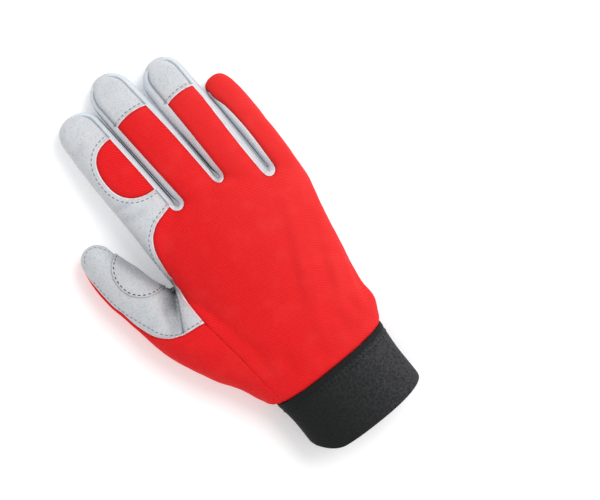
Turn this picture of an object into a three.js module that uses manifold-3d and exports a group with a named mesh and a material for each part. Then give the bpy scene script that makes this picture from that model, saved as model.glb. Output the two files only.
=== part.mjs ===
// Right-hand mechanic's glove, lying palm down with relaxed, slightly bent fingers.
//
// The glove is a hollow shell: a hand, four finger stalls and a thumb stall share one
// inner space that is open at the wrist. Seams divide the shell into the pieces that are
// cut and sewn: a red knitted back, grey leather palm, side walls between the fingers,
// leather fingertips, a window in the forefinger and a two-part thumb. A black elastic
// cuff closes with a tab under the wrist.
//
// Units are millimetres. X runs from the forefinger to the little finger, Y from the
// wrist to the fingertips and Z from the palm to the back of the hand. The glove rests on
// the plane Z = 0 and the origin is the middle of its footprint.
import * as THREE from "three";
import { mergeVertices } from "three/addons/utils/BufferGeometryUtils.js";
import Module from "manifold-3d";

// Lengths along the hand
const CUFF_HEIGHT = 38;
const CUFF_SEAM_RISE = 2.5;
const CUFF_SEAM_DROP = 4.2;
const CUFF_END_DROP = 8;
const PALM_LENGTH = 122;
const INDEX_LENGTH = 81;
const MIDDLE_LENGTH = 90;
const RING_LENGTH = 79;
const LITTLE_LENGTH = 66;
const THUMB_LENGTH = 122.5;
const TIP_CAP_LENGTH = 27;

// Widths at the roots of the fingers, which add up to the width of the hand
const INDEX_WIDTH = 31;
const MIDDLE_WIDTH = 27;
const RING_WIDTH = 24;
const LITTLE_WIDTH = 17;
const THUMB_WIDTH = 27;
const BACK_WRAP = 9;
const WRIST_WIDTH = 77;

// Thicknesses from palm to back
const PALM_THICKNESS = 40;
const WRIST_THICKNESS = 34;
const FINGER_THICKNESS = 26;
const LITTLE_THICKNESS = 21.5;
const THUMB_THICKNESS = 27;

// Walls, layers and clearances
const WALL = 1.8;
const CUFF_WALL = 2.4;
const BINDING_THICKNESS = 0.8;
const BINDING_WIDTH = 5;
const PATCH_THICKNESS = 1;
const TAB_THICKNESS = 1.5;
const TAB_FACE_THICKNESS = 1;
const TAB_WIDTH = 37;
const TAB_LENGTH = 61;
const TAB_RIM_WIDTH = 4;
const TAB_ROOT_WIDTH = 7.5;
const SEAM_GAP = 0.3;
const SEAM_INSET = 2.6;
const SLIT_GAP = 1.5;
const WEB_SETBACK = 1.8;

// How far the lowest skin of a free section is pressed flat where the glove rests
const REST_PRESS = 1.2;

// Numbers of straight sides around the sections
const HAND_TOP_SIDES = 22;
const HAND_BOTTOM_SIDES = 28;
const FINGER_SIDES = 7;
const CUFF_SIDES = 16;

const FAR = 400;
const wasm = await Module();
wasm.setup();

// Heights and places that follow from the sizes above
const palmWidth = INDEX_WIDTH + MIDDLE_WIDTH + RING_WIDTH + LITTLE_WIDTH + 3 * SLIT_GAP;
const cuffSeam = CUFF_HEIGHT;
const wristBottom = 2 * SEAM_GAP + TAB_THICKNESS + TAB_FACE_THICKNESS;
const wristTop = wristBottom + WRIST_THICKNESS;
const wristMiddle = 0.41 * palmWidth;
const wristWidest = wristBottom + 0.46 * WRIST_THICKNESS;

// Sections of the hand from the wrist to the roots of the fingers. "along" is a share of
// the palm's length from the cuff seam, "wrist" says how far the section still is the
// wrist's, "left" and "right" are shares of the palm's width, "top" and "widest" are
// shares of its thickness, "bottom" lifts the palm's skin and "skew" follows the slanting
// line of the finger roots.
const HAND_SECTIONS = [
  { along: -0.08, wrist: 1.0, left: 0.0, right: 0.85, bottom: 0.0, top: 1.0, widest: 0.42, skew: 0 },
  { along: 0.0, wrist: 1.0, left: 0.0, right: 0.85, bottom: 0.0, top: 1.0, widest: 0.42, skew: 0 },
  { along: 0.05, wrist: 0.6, left: 0.0, right: 0.87, bottom: 0.0, top: 1.0, widest: 0.42, skew: 0 },
  { along: 0.11, wrist: 0.15, left: 0.0, right: 0.858, bottom: 0.0, top: 1.01, widest: 0.42, skew: 0 },
  { along: 0.2, wrist: 0.0, left: 0.0, right: 0.845, bottom: 0.0, top: 1.0, widest: 0.42, skew: 0 },
  { along: 0.4, wrist: 0.0, left: 0.0, right: 0.89, bottom: 0.0, top: 0.99, widest: 0.41, skew: 0 },
  { along: 0.62, wrist: 0.0, left: 0.0, right: 0.95, bottom: 0.0, top: 0.99, widest: 0.4, skew: 0.15 },
  { along: 0.8, wrist: 0.0, left: 0.0, right: 0.995, bottom: 0.0, top: 0.93, widest: 0.4, skew: 0.5 },
  { along: 0.92, wrist: 0.0, left: 0.0, right: 1.0, bottom: 0.0, top: 0.82, widest: 0.4, skew: 0.8 },
  { along: 1.07, wrist: 0.0, left: 0.006, right: 0.996, bottom: 0.08, top: 0.58, widest: 0.4, skew: 1.0 },
];
const HAND_TOP_SQUARENESS = 2.4;
const HAND_BOTTOM_SQUARENESS = 3.6;

// Puckers where the palm is gathered onto the cuff: place across the wrist, depth as a
// share of the wall and reach as a share of the palm's length.
const GATHERS = [
  { across: 0.16, depth: 0.75, reach: 0.1 },
  { across: 0.28, depth: 0.95, reach: 0.12 },
  { across: 0.38, depth: 0.8, reach: 0.09 },
  { across: 0.48, depth: 1.0, reach: 0.15 },
  { across: 0.58, depth: 0.85, reach: 0.1 },
  { across: 0.69, depth: 0.9, reach: 0.12 },
  { across: 0.81, depth: 0.7, reach: 0.08 },
];
const GATHER_HALF_WIDTH = 0.042;

// The finger stalls. "root" is the place of the finger's root as a share of the palm's
// length from the cuff seam.
const FINGERS = [
  { name: "index", root: 1.025, length: INDEX_LENGTH, width: INDEX_WIDTH, thickness: FINGER_THICKNESS },
  { name: "middle", root: 1.01, length: MIDDLE_LENGTH, width: MIDDLE_WIDTH, thickness: FINGER_THICKNESS },
  { name: "ring", root: 1.0, length: RING_LENGTH, width: RING_WIDTH, thickness: FINGER_THICKNESS },
  { name: "little", root: 0.87, length: LITTLE_LENGTH, width: LITTLE_WIDTH, thickness: LITTLE_THICKNESS },
];

// The slits between neighbouring fingers. "web" is where a slit starts, "lean" how far it
// leans across for each millimetre along, and "open" how many times its gap has grown at
// the end of the shorter finger.
const SLITS = [
  { name: "index_middle", web: 1.02, lean: -0.05, open: 1.2 },
  { name: "middle_ring", web: 1.0, lean: -0.03, open: 3.6 },
  { name: "ring_little", web: 0.87, lean: 0.004, open: 1.6 },
];

// Sections of every finger: place, width and thickness as shares of the finger's own
// length, width and thickness, and the height of its underside as a share of its
// thickness.
const FINGER_SECTIONS = [
  { along: -0.22, width: 0.97, thickness: 0.98, lift: 0.16 },
  { along: 0.0, width: 1.0, thickness: 1.0, lift: 0.17 },
  { along: 0.3, width: 1.0, thickness: 0.93, lift: 0.16 },
  { along: 0.6, width: 1.0, thickness: 0.87, lift: 0.11 },
  { along: 0.84, width: 0.97, thickness: 0.8, lift: 0.0 },
];
const FINGER_SQUARENESS = 2.6;
const FINGER_WIDEST = 0.47;

// Sections of the thumb: place along and out to the side as shares of its length, half
// width as a share of its width, and underside and top as shares of its thickness.
const THUMB_SECTIONS = [
  { along: -0.16, out: -0.06, half: 0.7, bottom: 0.14, top: 1.26 },
  { along: 0.0, out: 0.0, half: 0.74, bottom: 0.06, top: 1.3 },
  { along: 0.22, out: 0.106, half: 0.75, bottom: 0.0, top: 1.28 },
  { along: 0.433, out: 0.22, half: 0.7, bottom: 0.0, top: 1.16 },
  { along: 0.612, out: 0.3, half: 0.575, bottom: 0.0, top: 1.04 },
  { along: 0.759, out: 0.333, half: 0.515, bottom: 0.02, top: 0.96 },
  { along: 0.873, out: 0.351, half: 0.43, bottom: 0.05, top: 0.88 },
  { along: 0.914, out: 0.352, half: 0.38, bottom: 0.06, top: 0.84 },
];
const THUMB_ROOT = { across: 0.166, along: 0.14 };
const THUMB_SQUARENESS = 2.3;

// Steps around a rounded fingertip, in degrees
const TIP_STEPS = [0, 28, 52, 71, 84];

// Sections of the cuff from its open end to the seam, as shares of its height and of the
// wrist's width and thickness.
const CUFF_SECTIONS = [
  { along: -0.4, width: 0.945, thickness: 0.95 },
  { along: 0.0, width: 0.965, thickness: 0.97 },
  { along: 0.5, width: 0.965, thickness: 1.0 },
  { along: 0.9, width: 1.0, thickness: 1.0 },
  { along: 1.1, width: 1.0, thickness: 1.0 },
];

// Value of a column of a table at a place between its rows.
function columnAt(rows, column, along) {
  const next = rows.findIndex((row) => row.along >= along);
  if (next === 0) return rows[0][column];
  if (next < 0) return rows[rows.length - 1][column];
  const [a, b] = [rows[next - 1], rows[next]];
  return THREE.MathUtils.mapLinear(along, a.along, b.along, a[column], b[column]);
}

// A closed mesh given as vertices and triangles, as a solid.
function solidFrom(positions, triangles) {
  const mesh = { numProp: 3, vertProperties: new Float32Array(positions), triVerts: new Uint32Array(triangles) };
  return new wasm.Manifold(new wasm.Mesh(mesh));
}

// A three.js geometry, as a solid.
function solidOf(geometry) {
  geometry.deleteAttribute("normal");
  geometry.deleteAttribute("uv");
  const merged = mergeVertices(geometry, 1e-4);
  return solidFrom(merged.attributes.position.array, merged.index.array);
}

// Skin through a row of rings of equal length, closed by a fan at each end.
function skin(rings) {
  const sides = rings[0].length;
  const positions = rings.flat().flatMap((p) => [p.x, p.y, p.z]);
  const triangles = [];
  for (let r = 0; r + 1 < rings.length; r++) {
    for (let i = 0; i < sides; i++) {
      const [a, b] = [r * sides + i, r * sides + ((i + 1) % sides)];
      triangles.push(a, a + sides, b, b, a + sides, b + sides);
    }
  }
  for (const [first, start] of [[true, 0], [false, (rings.length - 1) * sides]]) {
    const ring = first ? rings[0] : rings[rings.length - 1];
    const middle = ring.reduce((sum, p) => sum.add(p), new THREE.Vector3()).divideScalar(sides);
    const hub = positions.length / 3;
    positions.push(middle.x, middle.y, middle.z);
    for (let i = 0; i < sides; i++) {
      const [a, b] = [start + i, start + ((i + 1) % sides)];
      triangles.push(hub, first ? a : b, first ? b : a);
    }
  }
  return solidFrom(positions, triangles);
}

// Half of a rounded section, from its right end over the top to its left end, as equally
// spaced points. A negative height gives the lower half.
function halfSection(halfWidth, height, squareness, sides) {
  const power = 2 / squareness;
  const fine = [];
  const steps = 8 * sides;
  for (let i = 0; i <= steps; i++) {
    const angle = (Math.PI * i) / steps;
    const [c, s] = [Math.cos(angle), Math.sin(angle)];
    fine.push(new THREE.Vector2(Math.sign(c) * halfWidth * Math.abs(c) ** power, height * Math.abs(s) ** power));
  }
  const lengths = [0];
  for (let i = 1; i <= steps; i++) lengths.push(lengths[i - 1] + fine[i].distanceTo(fine[i - 1]));
  const points = [];
  for (let i = 0, at = 1; i < sides; i++) {
    const wanted = (lengths[steps] * i) / sides;
    while (lengths[at] < wanted) at++;
    const share = (wanted - lengths[at - 1]) / (lengths[at] - lengths[at - 1]);
    points.push(fine[at - 1].clone().lerp(fine[at], share));
  }
  return points;
}

// Ring of points of one section. It stands upright across "direction", a heading in the
// plane, around "centre", which is at the section's widest height.
function sectionRing({ centre, direction, halfWidth, up, down, squareness, sides, floor }) {
  const [topSquareness, bottomSquareness] = squareness;
  const top = halfSection(halfWidth, up, topSquareness, sides[0]);
  const bottom = halfSection(halfWidth, -down, bottomSquareness, sides[1]).map((p) => new THREE.Vector2(-p.x, p.y));
  const across = new THREE.Vector2(direction.y, -direction.x);
  return [...top, ...bottom].map((p) => {
    const z = Math.max(centre.z + p.y, floor);
    return new THREE.Vector3(centre.x + across.x * p.x, centre.y + across.y * p.x, z);
  });
}

// Place along the glove of the line of finger roots, at a place across it.
function webLine(x) {
  const slits = SLITS.map((slit, i) => ({ along: slitRoot(i), web: slit.web }));
  const rows = [{ along: 0, web: 1.03 }, ...slits, { along: palmWidth, web: 0.83 }];
  return cuffSeam + PALM_LENGTH * columnAt(rows, "web", x);
}

// Place across the hand where a slit starts, midway in its gap.
function slitRoot(index) {
  const before = FINGERS.slice(0, index + 1).reduce((sum, finger) => sum + finger.width, 0);
  return before + (index + 0.5) * SLIT_GAP;
}

// Middle and gap of a slit at a place along the glove.
function slitAt(index, y) {
  const slit = SLITS[index];
  const distance = y - cuffSeam - PALM_LENGTH * slit.web;
  const shorter = Math.min(FINGERS[index].length, FINGERS[index + 1].length);
  const gap = SLIT_GAP * (1 + (slit.open - 1) * Math.max(0, distance / shorter) ** 2);
  return { x: slitRoot(index) + slit.lean * Math.max(0, distance), gap };
}

// Left and right side of a finger at a place along the glove.
function fingerSides(index, y) {
  const left = index === 0 ? 0 : slitAt(index - 1, y).x + slitAt(index - 1, y).gap / 2;
  const right = index === 3 ? palmWidth : slitAt(index, y).x - slitAt(index, y).gap / 2;
  return { left, right };
}

// Height of the palm's skin above the cuff seam's gathers, in millimetres.
function gatherLift(x, y) {
  const across = (x - wristMiddle) / WRIST_WIDTH + 0.5;
  const along = (y - cuffSeam) / PALM_LENGTH;
  let lift = 0;
  for (const gather of GATHERS) {
    const side = Math.abs(across - gather.across) / GATHER_HALF_WIDTH;
    const fade = 1 - Math.max(0, along) / gather.reach;
    if (side < 1 && fade > 0) lift += gather.depth * WALL * fade * Math.cos((side * Math.PI) / 2) ** 2;
  }
  return lift;
}

// Everything on the wrist's side of the line of finger roots.
function wristSideOfWeb(distance) {
  const at = (x) => new THREE.Vector2(x, webLine(THREE.MathUtils.clamp(x, 0, palmWidth)) + distance);
  const line = [-FAR, 0, ...SLITS.map((_, i) => slitRoot(i)), palmWidth, FAR].map(at);
  return prism([new THREE.Vector2(-FAR, -FAR), new THREE.Vector2(FAR, -FAR), ...line.reverse()], -FAR, FAR);
}

// The hand without fingers and thumb, grown or shrunk by an even amount.
function handSolid(grow) {
  const { lerp } = THREE.MathUtils;
  const rings = HAND_SECTIONS.map((row, i) => {
    const left = lerp(row.left * palmWidth, wristMiddle - WRIST_WIDTH / 2, row.wrist);
    const right = lerp(row.right * palmWidth, wristMiddle + WRIST_WIDTH / 2, row.wrist);
    const bottom = lerp(row.bottom * PALM_THICKNESS - REST_PRESS, wristBottom, row.wrist);
    const top = lerp(row.top * PALM_THICKNESS, wristTop, row.wrist);
    const widest = lerp(row.widest * PALM_THICKNESS, wristWidest, row.wrist);
    const ring = sectionRing({
      centre: new THREE.Vector3((left + right) / 2, 0, widest),
      direction: new THREE.Vector2(0, 1),
      halfWidth: (right - left) / 2 + grow,
      up: top - widest + grow,
      down: widest - bottom + grow,
      squareness: [HAND_TOP_SQUARENESS, HAND_BOTTOM_SQUARENESS],
      sides: [HAND_TOP_SIDES, HAND_BOTTOM_SIDES],
      floor: -grow,
    });
    for (const p of ring) {
      const straight = cuffSeam + row.along * PALM_LENGTH;
      p.y = straight + row.skew * (webLine(p.x) - cuffSeam - PALM_LENGTH);
      if (i === 0) p.y -= Math.abs(grow);
      if (p.z < widest) p.z += gatherLift(p.x, p.y);
    }
    return ring;
  });
  return skin(rings).intersect(wristSideOfWeb(grow - WEB_SETBACK));
}

// Rings that round off a stall beyond its last section.
function tipRings(last, reach, ringAt) {
  return TIP_STEPS.map((degrees) => {
    const angle = THREE.MathUtils.degToRad(degrees);
    return ringAt(last + reach * Math.sin(angle), Math.cos(angle) ** 0.85);
  });
}

// A finger stall, grown or shrunk by an even amount.
function fingerSolid(index, grow) {
  const finger = FINGERS[index];
  const root = cuffSeam + PALM_LENGTH * finger.root;
  const tipStart = FINGER_SECTIONS[FINGER_SECTIONS.length - 1].along;
  const ringAt = (y, scale) => {
    const along = Math.min((y - root) / finger.length, tipStart);
    const { left, right } = fingerSides(index, Math.min(y, root + tipStart * finger.length));
    const thickness = columnAt(FINGER_SECTIONS, "thickness", along) * finger.thickness;
    const bottom = columnAt(FINGER_SECTIONS, "lift", along) * finger.thickness - REST_PRESS / 2;
    const widest = bottom + FINGER_WIDEST * thickness;
    return sectionRing({
      centre: new THREE.Vector3((left + right) / 2, y, widest),
      direction: new THREE.Vector2(0, 1),
      halfWidth: ((columnAt(FINGER_SECTIONS, "width", along) * (right - left)) / 2 + grow) * scale,
      up: (bottom + thickness - widest + grow) * scale,
      down: (widest - bottom + grow) * scale,
      squareness: [FINGER_SQUARENESS, FINGER_SQUARENESS],
      sides: [FINGER_SIDES, FINGER_SIDES],
      floor: -grow,
    });
  };
  const straight = FINGER_SECTIONS.slice(0, -1).map((row) => ringAt(root + row.along * finger.length, 1));
  const reach = (1 - tipStart) * finger.length + grow;
  return skin([...straight, ...tipRings(root + tipStart * finger.length, reach, ringAt)]);
}

// Place of the thumb's middle line, at a share of its length.
function thumbMiddle(along) {
  const x = THUMB_ROOT.across * palmWidth - columnAt(THUMB_SECTIONS, "out", along) * THUMB_LENGTH;
  const y = cuffSeam + THUMB_ROOT.along * PALM_LENGTH + along * THUMB_LENGTH;
  return new THREE.Vector2(x, y);
}

// The thumb stall, grown or shrunk by an even amount.
function thumbSolid(grow) {
  const tipStart = THUMB_SECTIONS[THUMB_SECTIONS.length - 1].along;
  const bottomOf = (along) => columnAt(THUMB_SECTIONS, "bottom", along) * THUMB_THICKNESS;
  const topOf = (along) => columnAt(THUMB_SECTIONS, "top", along) * THUMB_THICKNESS;
  const ringAt = (place, scale) => {
    const along = Math.min(place, tipStart);
    const middle = thumbMiddle(along).add(new THREE.Vector2(0, (place - along) * THUMB_LENGTH));
    const direction = thumbMiddle(along + 0.06).sub(thumbMiddle(along - 0.06)).normalize();
    const bottom = bottomOf(along) - REST_PRESS / 2;
    const widest = bottom + 0.47 * (topOf(along) - bottom);
    return sectionRing({
      centre: new THREE.Vector3(middle.x, middle.y, widest),
      direction,
      halfWidth: (columnAt(THUMB_SECTIONS, "half", along) * THUMB_WIDTH + grow) * scale,
      up: (topOf(along) - widest + grow) * scale,
      down: (widest - bottom + grow) * scale,
      squareness: [THUMB_SQUARENESS, THUMB_SQUARENESS],
      sides: [FINGER_SIDES + 1, FINGER_SIDES + 1],
      floor: -grow,
    });
  };
  const straight = THUMB_SECTIONS.slice(0, -1).map((row) => ringAt(row.along, 1));
  return skin([...straight, ...tipRings(tipStart, 1 - tipStart + grow / THUMB_LENGTH, ringAt)]);
}

// The cuff's outer form, grown or shrunk by an even amount.
function cuffSolid(grow) {
  const rings = CUFF_SECTIONS.map((row, i) => {
    const halfHeight = (row.thickness * WRIST_THICKNESS) / 2;
    const beyond = (i === 0 ? -1 : i === CUFF_SECTIONS.length - 1 ? 1 : 0) * Math.abs(grow);
    return sectionRing({
      centre: new THREE.Vector3(wristMiddle, row.along * CUFF_HEIGHT + beyond, wristWidest),
      direction: new THREE.Vector2(0, 1),
      halfWidth: (row.width * WRIST_WIDTH) / 2 + grow,
      up: 2 * halfHeight - (wristWidest - wristBottom) + grow,
      down: wristWidest - wristBottom + grow,
      squareness: [HAND_TOP_SQUARENESS, HAND_BOTTOM_SQUARENESS],
      sides: [CUFF_SIDES, CUFF_SIDES],
      floor: -FAR,
    });
  });
  return skin(rings);
}

// An outline moved outwards by a distance, or inwards by a negative one.
function offsetOutline(points, distance) {
  const turn = THREE.ShapeUtils.isClockWise(points) ? -1 : 1;
  return points.map((p, i) => {
    const before = points[(i + points.length - 1) % points.length];
    const after = points[(i + 1) % points.length];
    const a = p.clone().sub(before).normalize();
    const b = after.clone().sub(p).normalize();
    const normal = new THREE.Vector2(a.y + b.y, -a.x - b.x).normalize();
    const stretch = Math.max(0.5, normal.dot(new THREE.Vector2(a.y, -a.x)));
    return p.clone().addScaledVector(normal, (turn * distance) / stretch);
  });
}

// Upright prism over an outline in the plane, between two heights.
function prism(points, low, high) {
  const shape = new THREE.Shape(points);
  const geometry = new THREE.ExtrudeGeometry(shape, { depth: high - low, bevelEnabled: false });
  return solidOf(geometry.translate(0, 0, low));
}

// Prism across the whole glove over an outline given as places along it and heights.
function crossPrism(points) {
  const shape = new THREE.Shape(points);
  const geometry = new THREE.ExtrudeGeometry(shape, { depth: 2 * FAR, bevelEnabled: false });
  const toGlove = new THREE.Matrix4().makeBasis(
    new THREE.Vector3(0, 1, 0),
    new THREE.Vector3(0, 0, 1),
    new THREE.Vector3(1, 0, 0),
  );
  return solidOf(geometry.applyMatrix4(toGlove).translate(-FAR, 0, 0));
}

const union = (solids) => solids.reduce((sum, solid) => sum.add(solid));

// A point given as a share of the palm's width and a share of its length from the seam.
const onPalm = (across, along) => new THREE.Vector2(across * palmWidth, cuffSeam + along * PALM_LENGTH);

// Everything on the fingers' side of the cuff's upper edge, which slopes towards the
// wrist on the back of the hand. A positive distance moves it towards the fingers.
function handSideOfSeam(distance) {
  const edge = cuffEdge(cuffSeam, CUFF_SEAM_RISE, -CUFF_SEAM_DROP, distance);
  return crossPrism([...edge, new THREE.Vector2(FAR, FAR), new THREE.Vector2(FAR, -FAR)]);
}

// Upright edge line of the cuff, as places along the glove and heights: "under" and
// "over" shift it at the palm and at the back of the hand.
function cuffEdge(along, under, over, distance) {
  return [
    new THREE.Vector2(along + under + distance, -FAR),
    new THREE.Vector2(along + under + distance, wristBottom),
    new THREE.Vector2(along + distance, wristWidest),
    new THREE.Vector2(along + over + distance, wristTop),
    new THREE.Vector2(along + over + distance, FAR),
  ];
}

// The whole shell, before the seams divide it.
function shellSolid() {
  const whole = (grow) => union([handSolid(grow), ...FINGERS.map((_, i) => fingerSolid(i, grow)), thumbSolid(grow)]);
  return whole(0).subtract(whole(-WALL)).intersect(handSideOfSeam(SEAM_GAP / 2));
}

const materials = {
  knit: new THREE.MeshStandardMaterial({ color: 0xee2228, roughness: 0.85, metalness: 0 }),
  leather: new THREE.MeshStandardMaterial({ color: 0xc3c6ca, roughness: 0.9, metalness: 0 }),
  elastic: new THREE.MeshStandardMaterial({ color: 0x2c2e2e, roughness: 0.9, metalness: 0 }),
  moulded: new THREE.MeshStandardMaterial({ color: 0x32342f, roughness: 0.6, metalness: 0 }),
};
const glove = new THREE.Group();

// Adds one solid to the glove as a named piece.
function addPiece(name, material, solid) {
  const { vertProperties, triVerts } = solid.getMesh();
  const geometry = new THREE.BufferGeometry();
  geometry.setAttribute("position", new THREE.BufferAttribute(vertProperties, 3));
  geometry.setIndex(new THREE.BufferAttribute(triVerts, 1));
  geometry.computeVertexNormals();
  const mesh = new THREE.Mesh(geometry, material);
  mesh.name = name;
  glove.add(mesh);
}

// Cuts pieces out of the shell one after another. A region is a function that gives a
// solid grown by a distance, so that each seam keeps its gap.
let rest = shellSolid();
function cutPiece(name, material, region) {
  addPiece(name, material, rest.intersect(region(-SEAM_GAP / 2)));
  rest = rest.subtract(region(SEAM_GAP / 2));
}

// Line on a finger that runs parallel to one side of it and around its tip to the
// middle, from the root outwards. "side" is -1 for the left side and 1 for the right.
function sideSeam(index, side, start) {
  const finger = FINGERS[index];
  const root = cuffSeam + PALM_LENGTH * finger.root;
  const tipStart = root + FINGER_SECTIONS[FINGER_SECTIONS.length - 1].along * finger.length;
  const reach = root + finger.length - tipStart - SEAM_INSET;
  const at = (y, scale) => {
    const { left, right } = fingerSides(index, Math.min(y, tipStart));
    const half = ((right - left) / 2 - SEAM_INSET) * scale;
    return new THREE.Vector2((left + right) / 2 + side * half, y);
  };
  const points = [start, (start + tipStart) / 2, tipStart].map((y) => at(y, 1));
  for (const degrees of TIP_STEPS.slice(1)) {
    const angle = THREE.MathUtils.degToRad(degrees);
    points.push(at(tipStart + reach * Math.sin(angle), Math.cos(angle) ** 0.85));
  }
  const tip = at(tipStart + reach, 0);
  return [...points, tip, new THREE.Vector2(tip.x, tip.y + FAR)];
}

// Side walls of two neighbouring fingers, joined by the web at the start of the slit.
function fourchetteRegion(index) {
  const web = cuffSeam + PALM_LENGTH * SLITS[index].web;
  const { x } = slitAt(index, web);
  const start = web + SEAM_INSET;
  const left = sideSeam(index, 1, start);
  const right = sideSeam(index + 1, -1, start);
  const turn = [-55, -90, -125].map((degrees) => {
    const angle = THREE.MathUtils.degToRad(degrees);
    const radius = SEAM_INSET + SLIT_GAP / 2;
    return new THREE.Vector2(x - radius * Math.cos(angle), start + 1.9 * radius * Math.sin(angle));
  });
  const outline = [...left, ...right.reverse(), ...turn.reverse()];
  return (grow) => prism(offsetOutline(outline, grow), -FAR, FAR);
}

const fingerSplit = 0.33 * PALM_THICKNESS;
SLITS.forEach((slit, i) => cutPiece("fourchette_" + slit.name, materials.leather, fourchetteRegion(i)));

// Leather fingertips on the backs of the middle and ring finger, with a bowed seam.
for (const index of [1, 2]) {
  const finger = FINGERS[index];
  const seam = cuffSeam + PALM_LENGTH * finger.root + finger.length - TIP_CAP_LENGTH;
  const { left, right } = fingerSides(index, seam);
  const bow = 0.09 * finger.width;
  const outline = [
    new THREE.Vector2(left, seam - bow),
    new THREE.Vector2(left + 0.25 * (right - left), seam - 0.25 * bow),
    new THREE.Vector2(left + 0.5 * (right - left), seam),
    new THREE.Vector2(left + 0.75 * (right - left), seam - 0.25 * bow),
    new THREE.Vector2(right, seam - bow),
    new THREE.Vector2(right, seam + 2 * TIP_CAP_LENGTH),
    new THREE.Vector2(left, seam + 2 * TIP_CAP_LENGTH),
  ];
  const low = FINGER_WIDEST * 0.8 * finger.thickness;
  cutPiece(finger.name + "_tip_cap", materials.leather, (grow) => prism(offsetOutline(outline, grow), low, FAR));
}

// Knitted window in the leather on the back of the forefinger: half an oval whose
// straight side is the finger's side seam.
const WINDOW = { middle: 0.44, halfLength: 0.24, depth: 0.62 };
function windowRegion() {
  const index = FINGERS[0];
  const middle = cuffSeam + PALM_LENGTH * index.root + WINDOW.middle * index.length;
  const { right } = fingerSides(0, middle);
  const steps = 8;
  const outline = [];
  for (let i = 0; i <= steps; i++) {
    const angle = Math.PI * (i / steps - 0.5);
    const [c, s] = [Math.cos(angle), Math.sin(angle)];
    const x = right - SEAM_INSET - WINDOW.depth * index.width * c ** 0.9;
    outline.push(new THREE.Vector2(x, middle + Math.sign(s) * WINDOW.halfLength * index.length * Math.abs(s) ** 0.9));
  }
  outline.push(new THREE.Vector2(right, outline[steps].y), new THREE.Vector2(right, outline[0].y));
  return (grow) => prism(offsetOutline(outline, grow), FINGER_WIDEST * index.thickness, FAR);
}
cutPiece("index_window", materials.knit, windowRegion());

// The thumb's pieces. Points are shares of the palm's width and length, measured from the
// forefinger's side and from the cuff seam.
const NOTCH_TIP = onPalm(0.01, 0.515);
const NOTCH_FOOT = onPalm(-0.125, 0.53);
const THUMB_CROTCH = onPalm(-0.012, 0.73);
const THUMB_SEAM_FOOT = onPalm(0.085, -0.2);
const thumbSplit = 0.52 * THUMB_THICKNESS;

// Red strip along the thumb's outer side, which widens into the side of the wrist.
function thumbBackRegion() {
  const tip = thumbMiddle(1).add(new THREE.Vector2(-0.06 * THUMB_WIDTH, 0));
  const outside = -0.7 * palmWidth;
  const over = [
    THUMB_SEAM_FOOT,
    onPalm(0.04, 0.3),
    NOTCH_TIP,
    NOTCH_FOOT,
    onPalm(-0.205, 0.56),
    onPalm(-0.27, 0.62),
    onPalm(-0.305, 0.72),
    onPalm(-0.325, 0.84),
    onPalm(-0.34, 0.98),
    onPalm(-0.37, 1.1),
    new THREE.Vector2(outside, onPalm(0, 1.1).y),
    new THREE.Vector2(outside, THUMB_SEAM_FOOT.y),
  ];
  const beside = [
    onPalm(-0.24, 0.5),
    onPalm(-0.25, 0.8),
    onPalm(-0.26, 1.06),
    tip,
    new THREE.Vector2(tip.x, tip.y + FAR),
    new THREE.Vector2(outside, tip.y + FAR),
    new THREE.Vector2(outside, onPalm(0, 0.5).y),
  ];
  const under = [
    onPalm(0.13, -0.2),
    onPalm(0.13, 0.02),
    onPalm(-0.03, 0.16),
    onPalm(-0.13, 0.31),
    onPalm(-0.22, 0.5),
    onPalm(-0.25, 0.7),
    onPalm(-0.27, 0.84),
    onPalm(-0.27, 1.06),
    tip,
    new THREE.Vector2(tip.x, tip.y + FAR),
    new THREE.Vector2(outside, tip.y + FAR),
    new THREE.Vector2(outside, onPalm(0, -0.2).y),
  ];
  const seamHeight = 0.64 * THUMB_THICKNESS;
  return (grow) =>
    union([
      prism(offsetOutline(over, grow), thumbSplit - SEAM_GAP, FAR),
      prism(offsetOutline(beside, grow), thumbSplit - SEAM_GAP, seamHeight + grow),
      prism(offsetOutline(under, grow), -FAR, thumbSplit),
    ]);
}
cutPiece("thumb_back", materials.knit, thumbBackRegion());

// Grey front of the thumb.
function thumbFrontRegion() {
  const outside = -0.7 * palmWidth;
  const beyond = [
    new THREE.Vector2(THUMB_CROTCH.x, THUMB_CROTCH.y + FAR),
    new THREE.Vector2(outside, THUMB_CROTCH.y + FAR),
  ];
  const over = [...beyond, new THREE.Vector2(outside, NOTCH_FOOT.y), NOTCH_FOOT, onPalm(-0.03, 0.68), THUMB_CROTCH];
  const foot = onPalm(-0.24, 0.42);
  const under = [
    ...beyond,
    new THREE.Vector2(outside, foot.y),
    foot,
    onPalm(-0.19, 0.44),
    onPalm(-0.1, 0.63),
    THUMB_CROTCH,
  ];
  return (grow) =>
    union([
      prism(offsetOutline(over, grow), thumbSplit - SEAM_GAP, FAR),
      prism(offsetOutline(under, grow), -FAR, thumbSplit),
    ]);
}
cutPiece("thumb_front", materials.leather, thumbFrontRegion());

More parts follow.
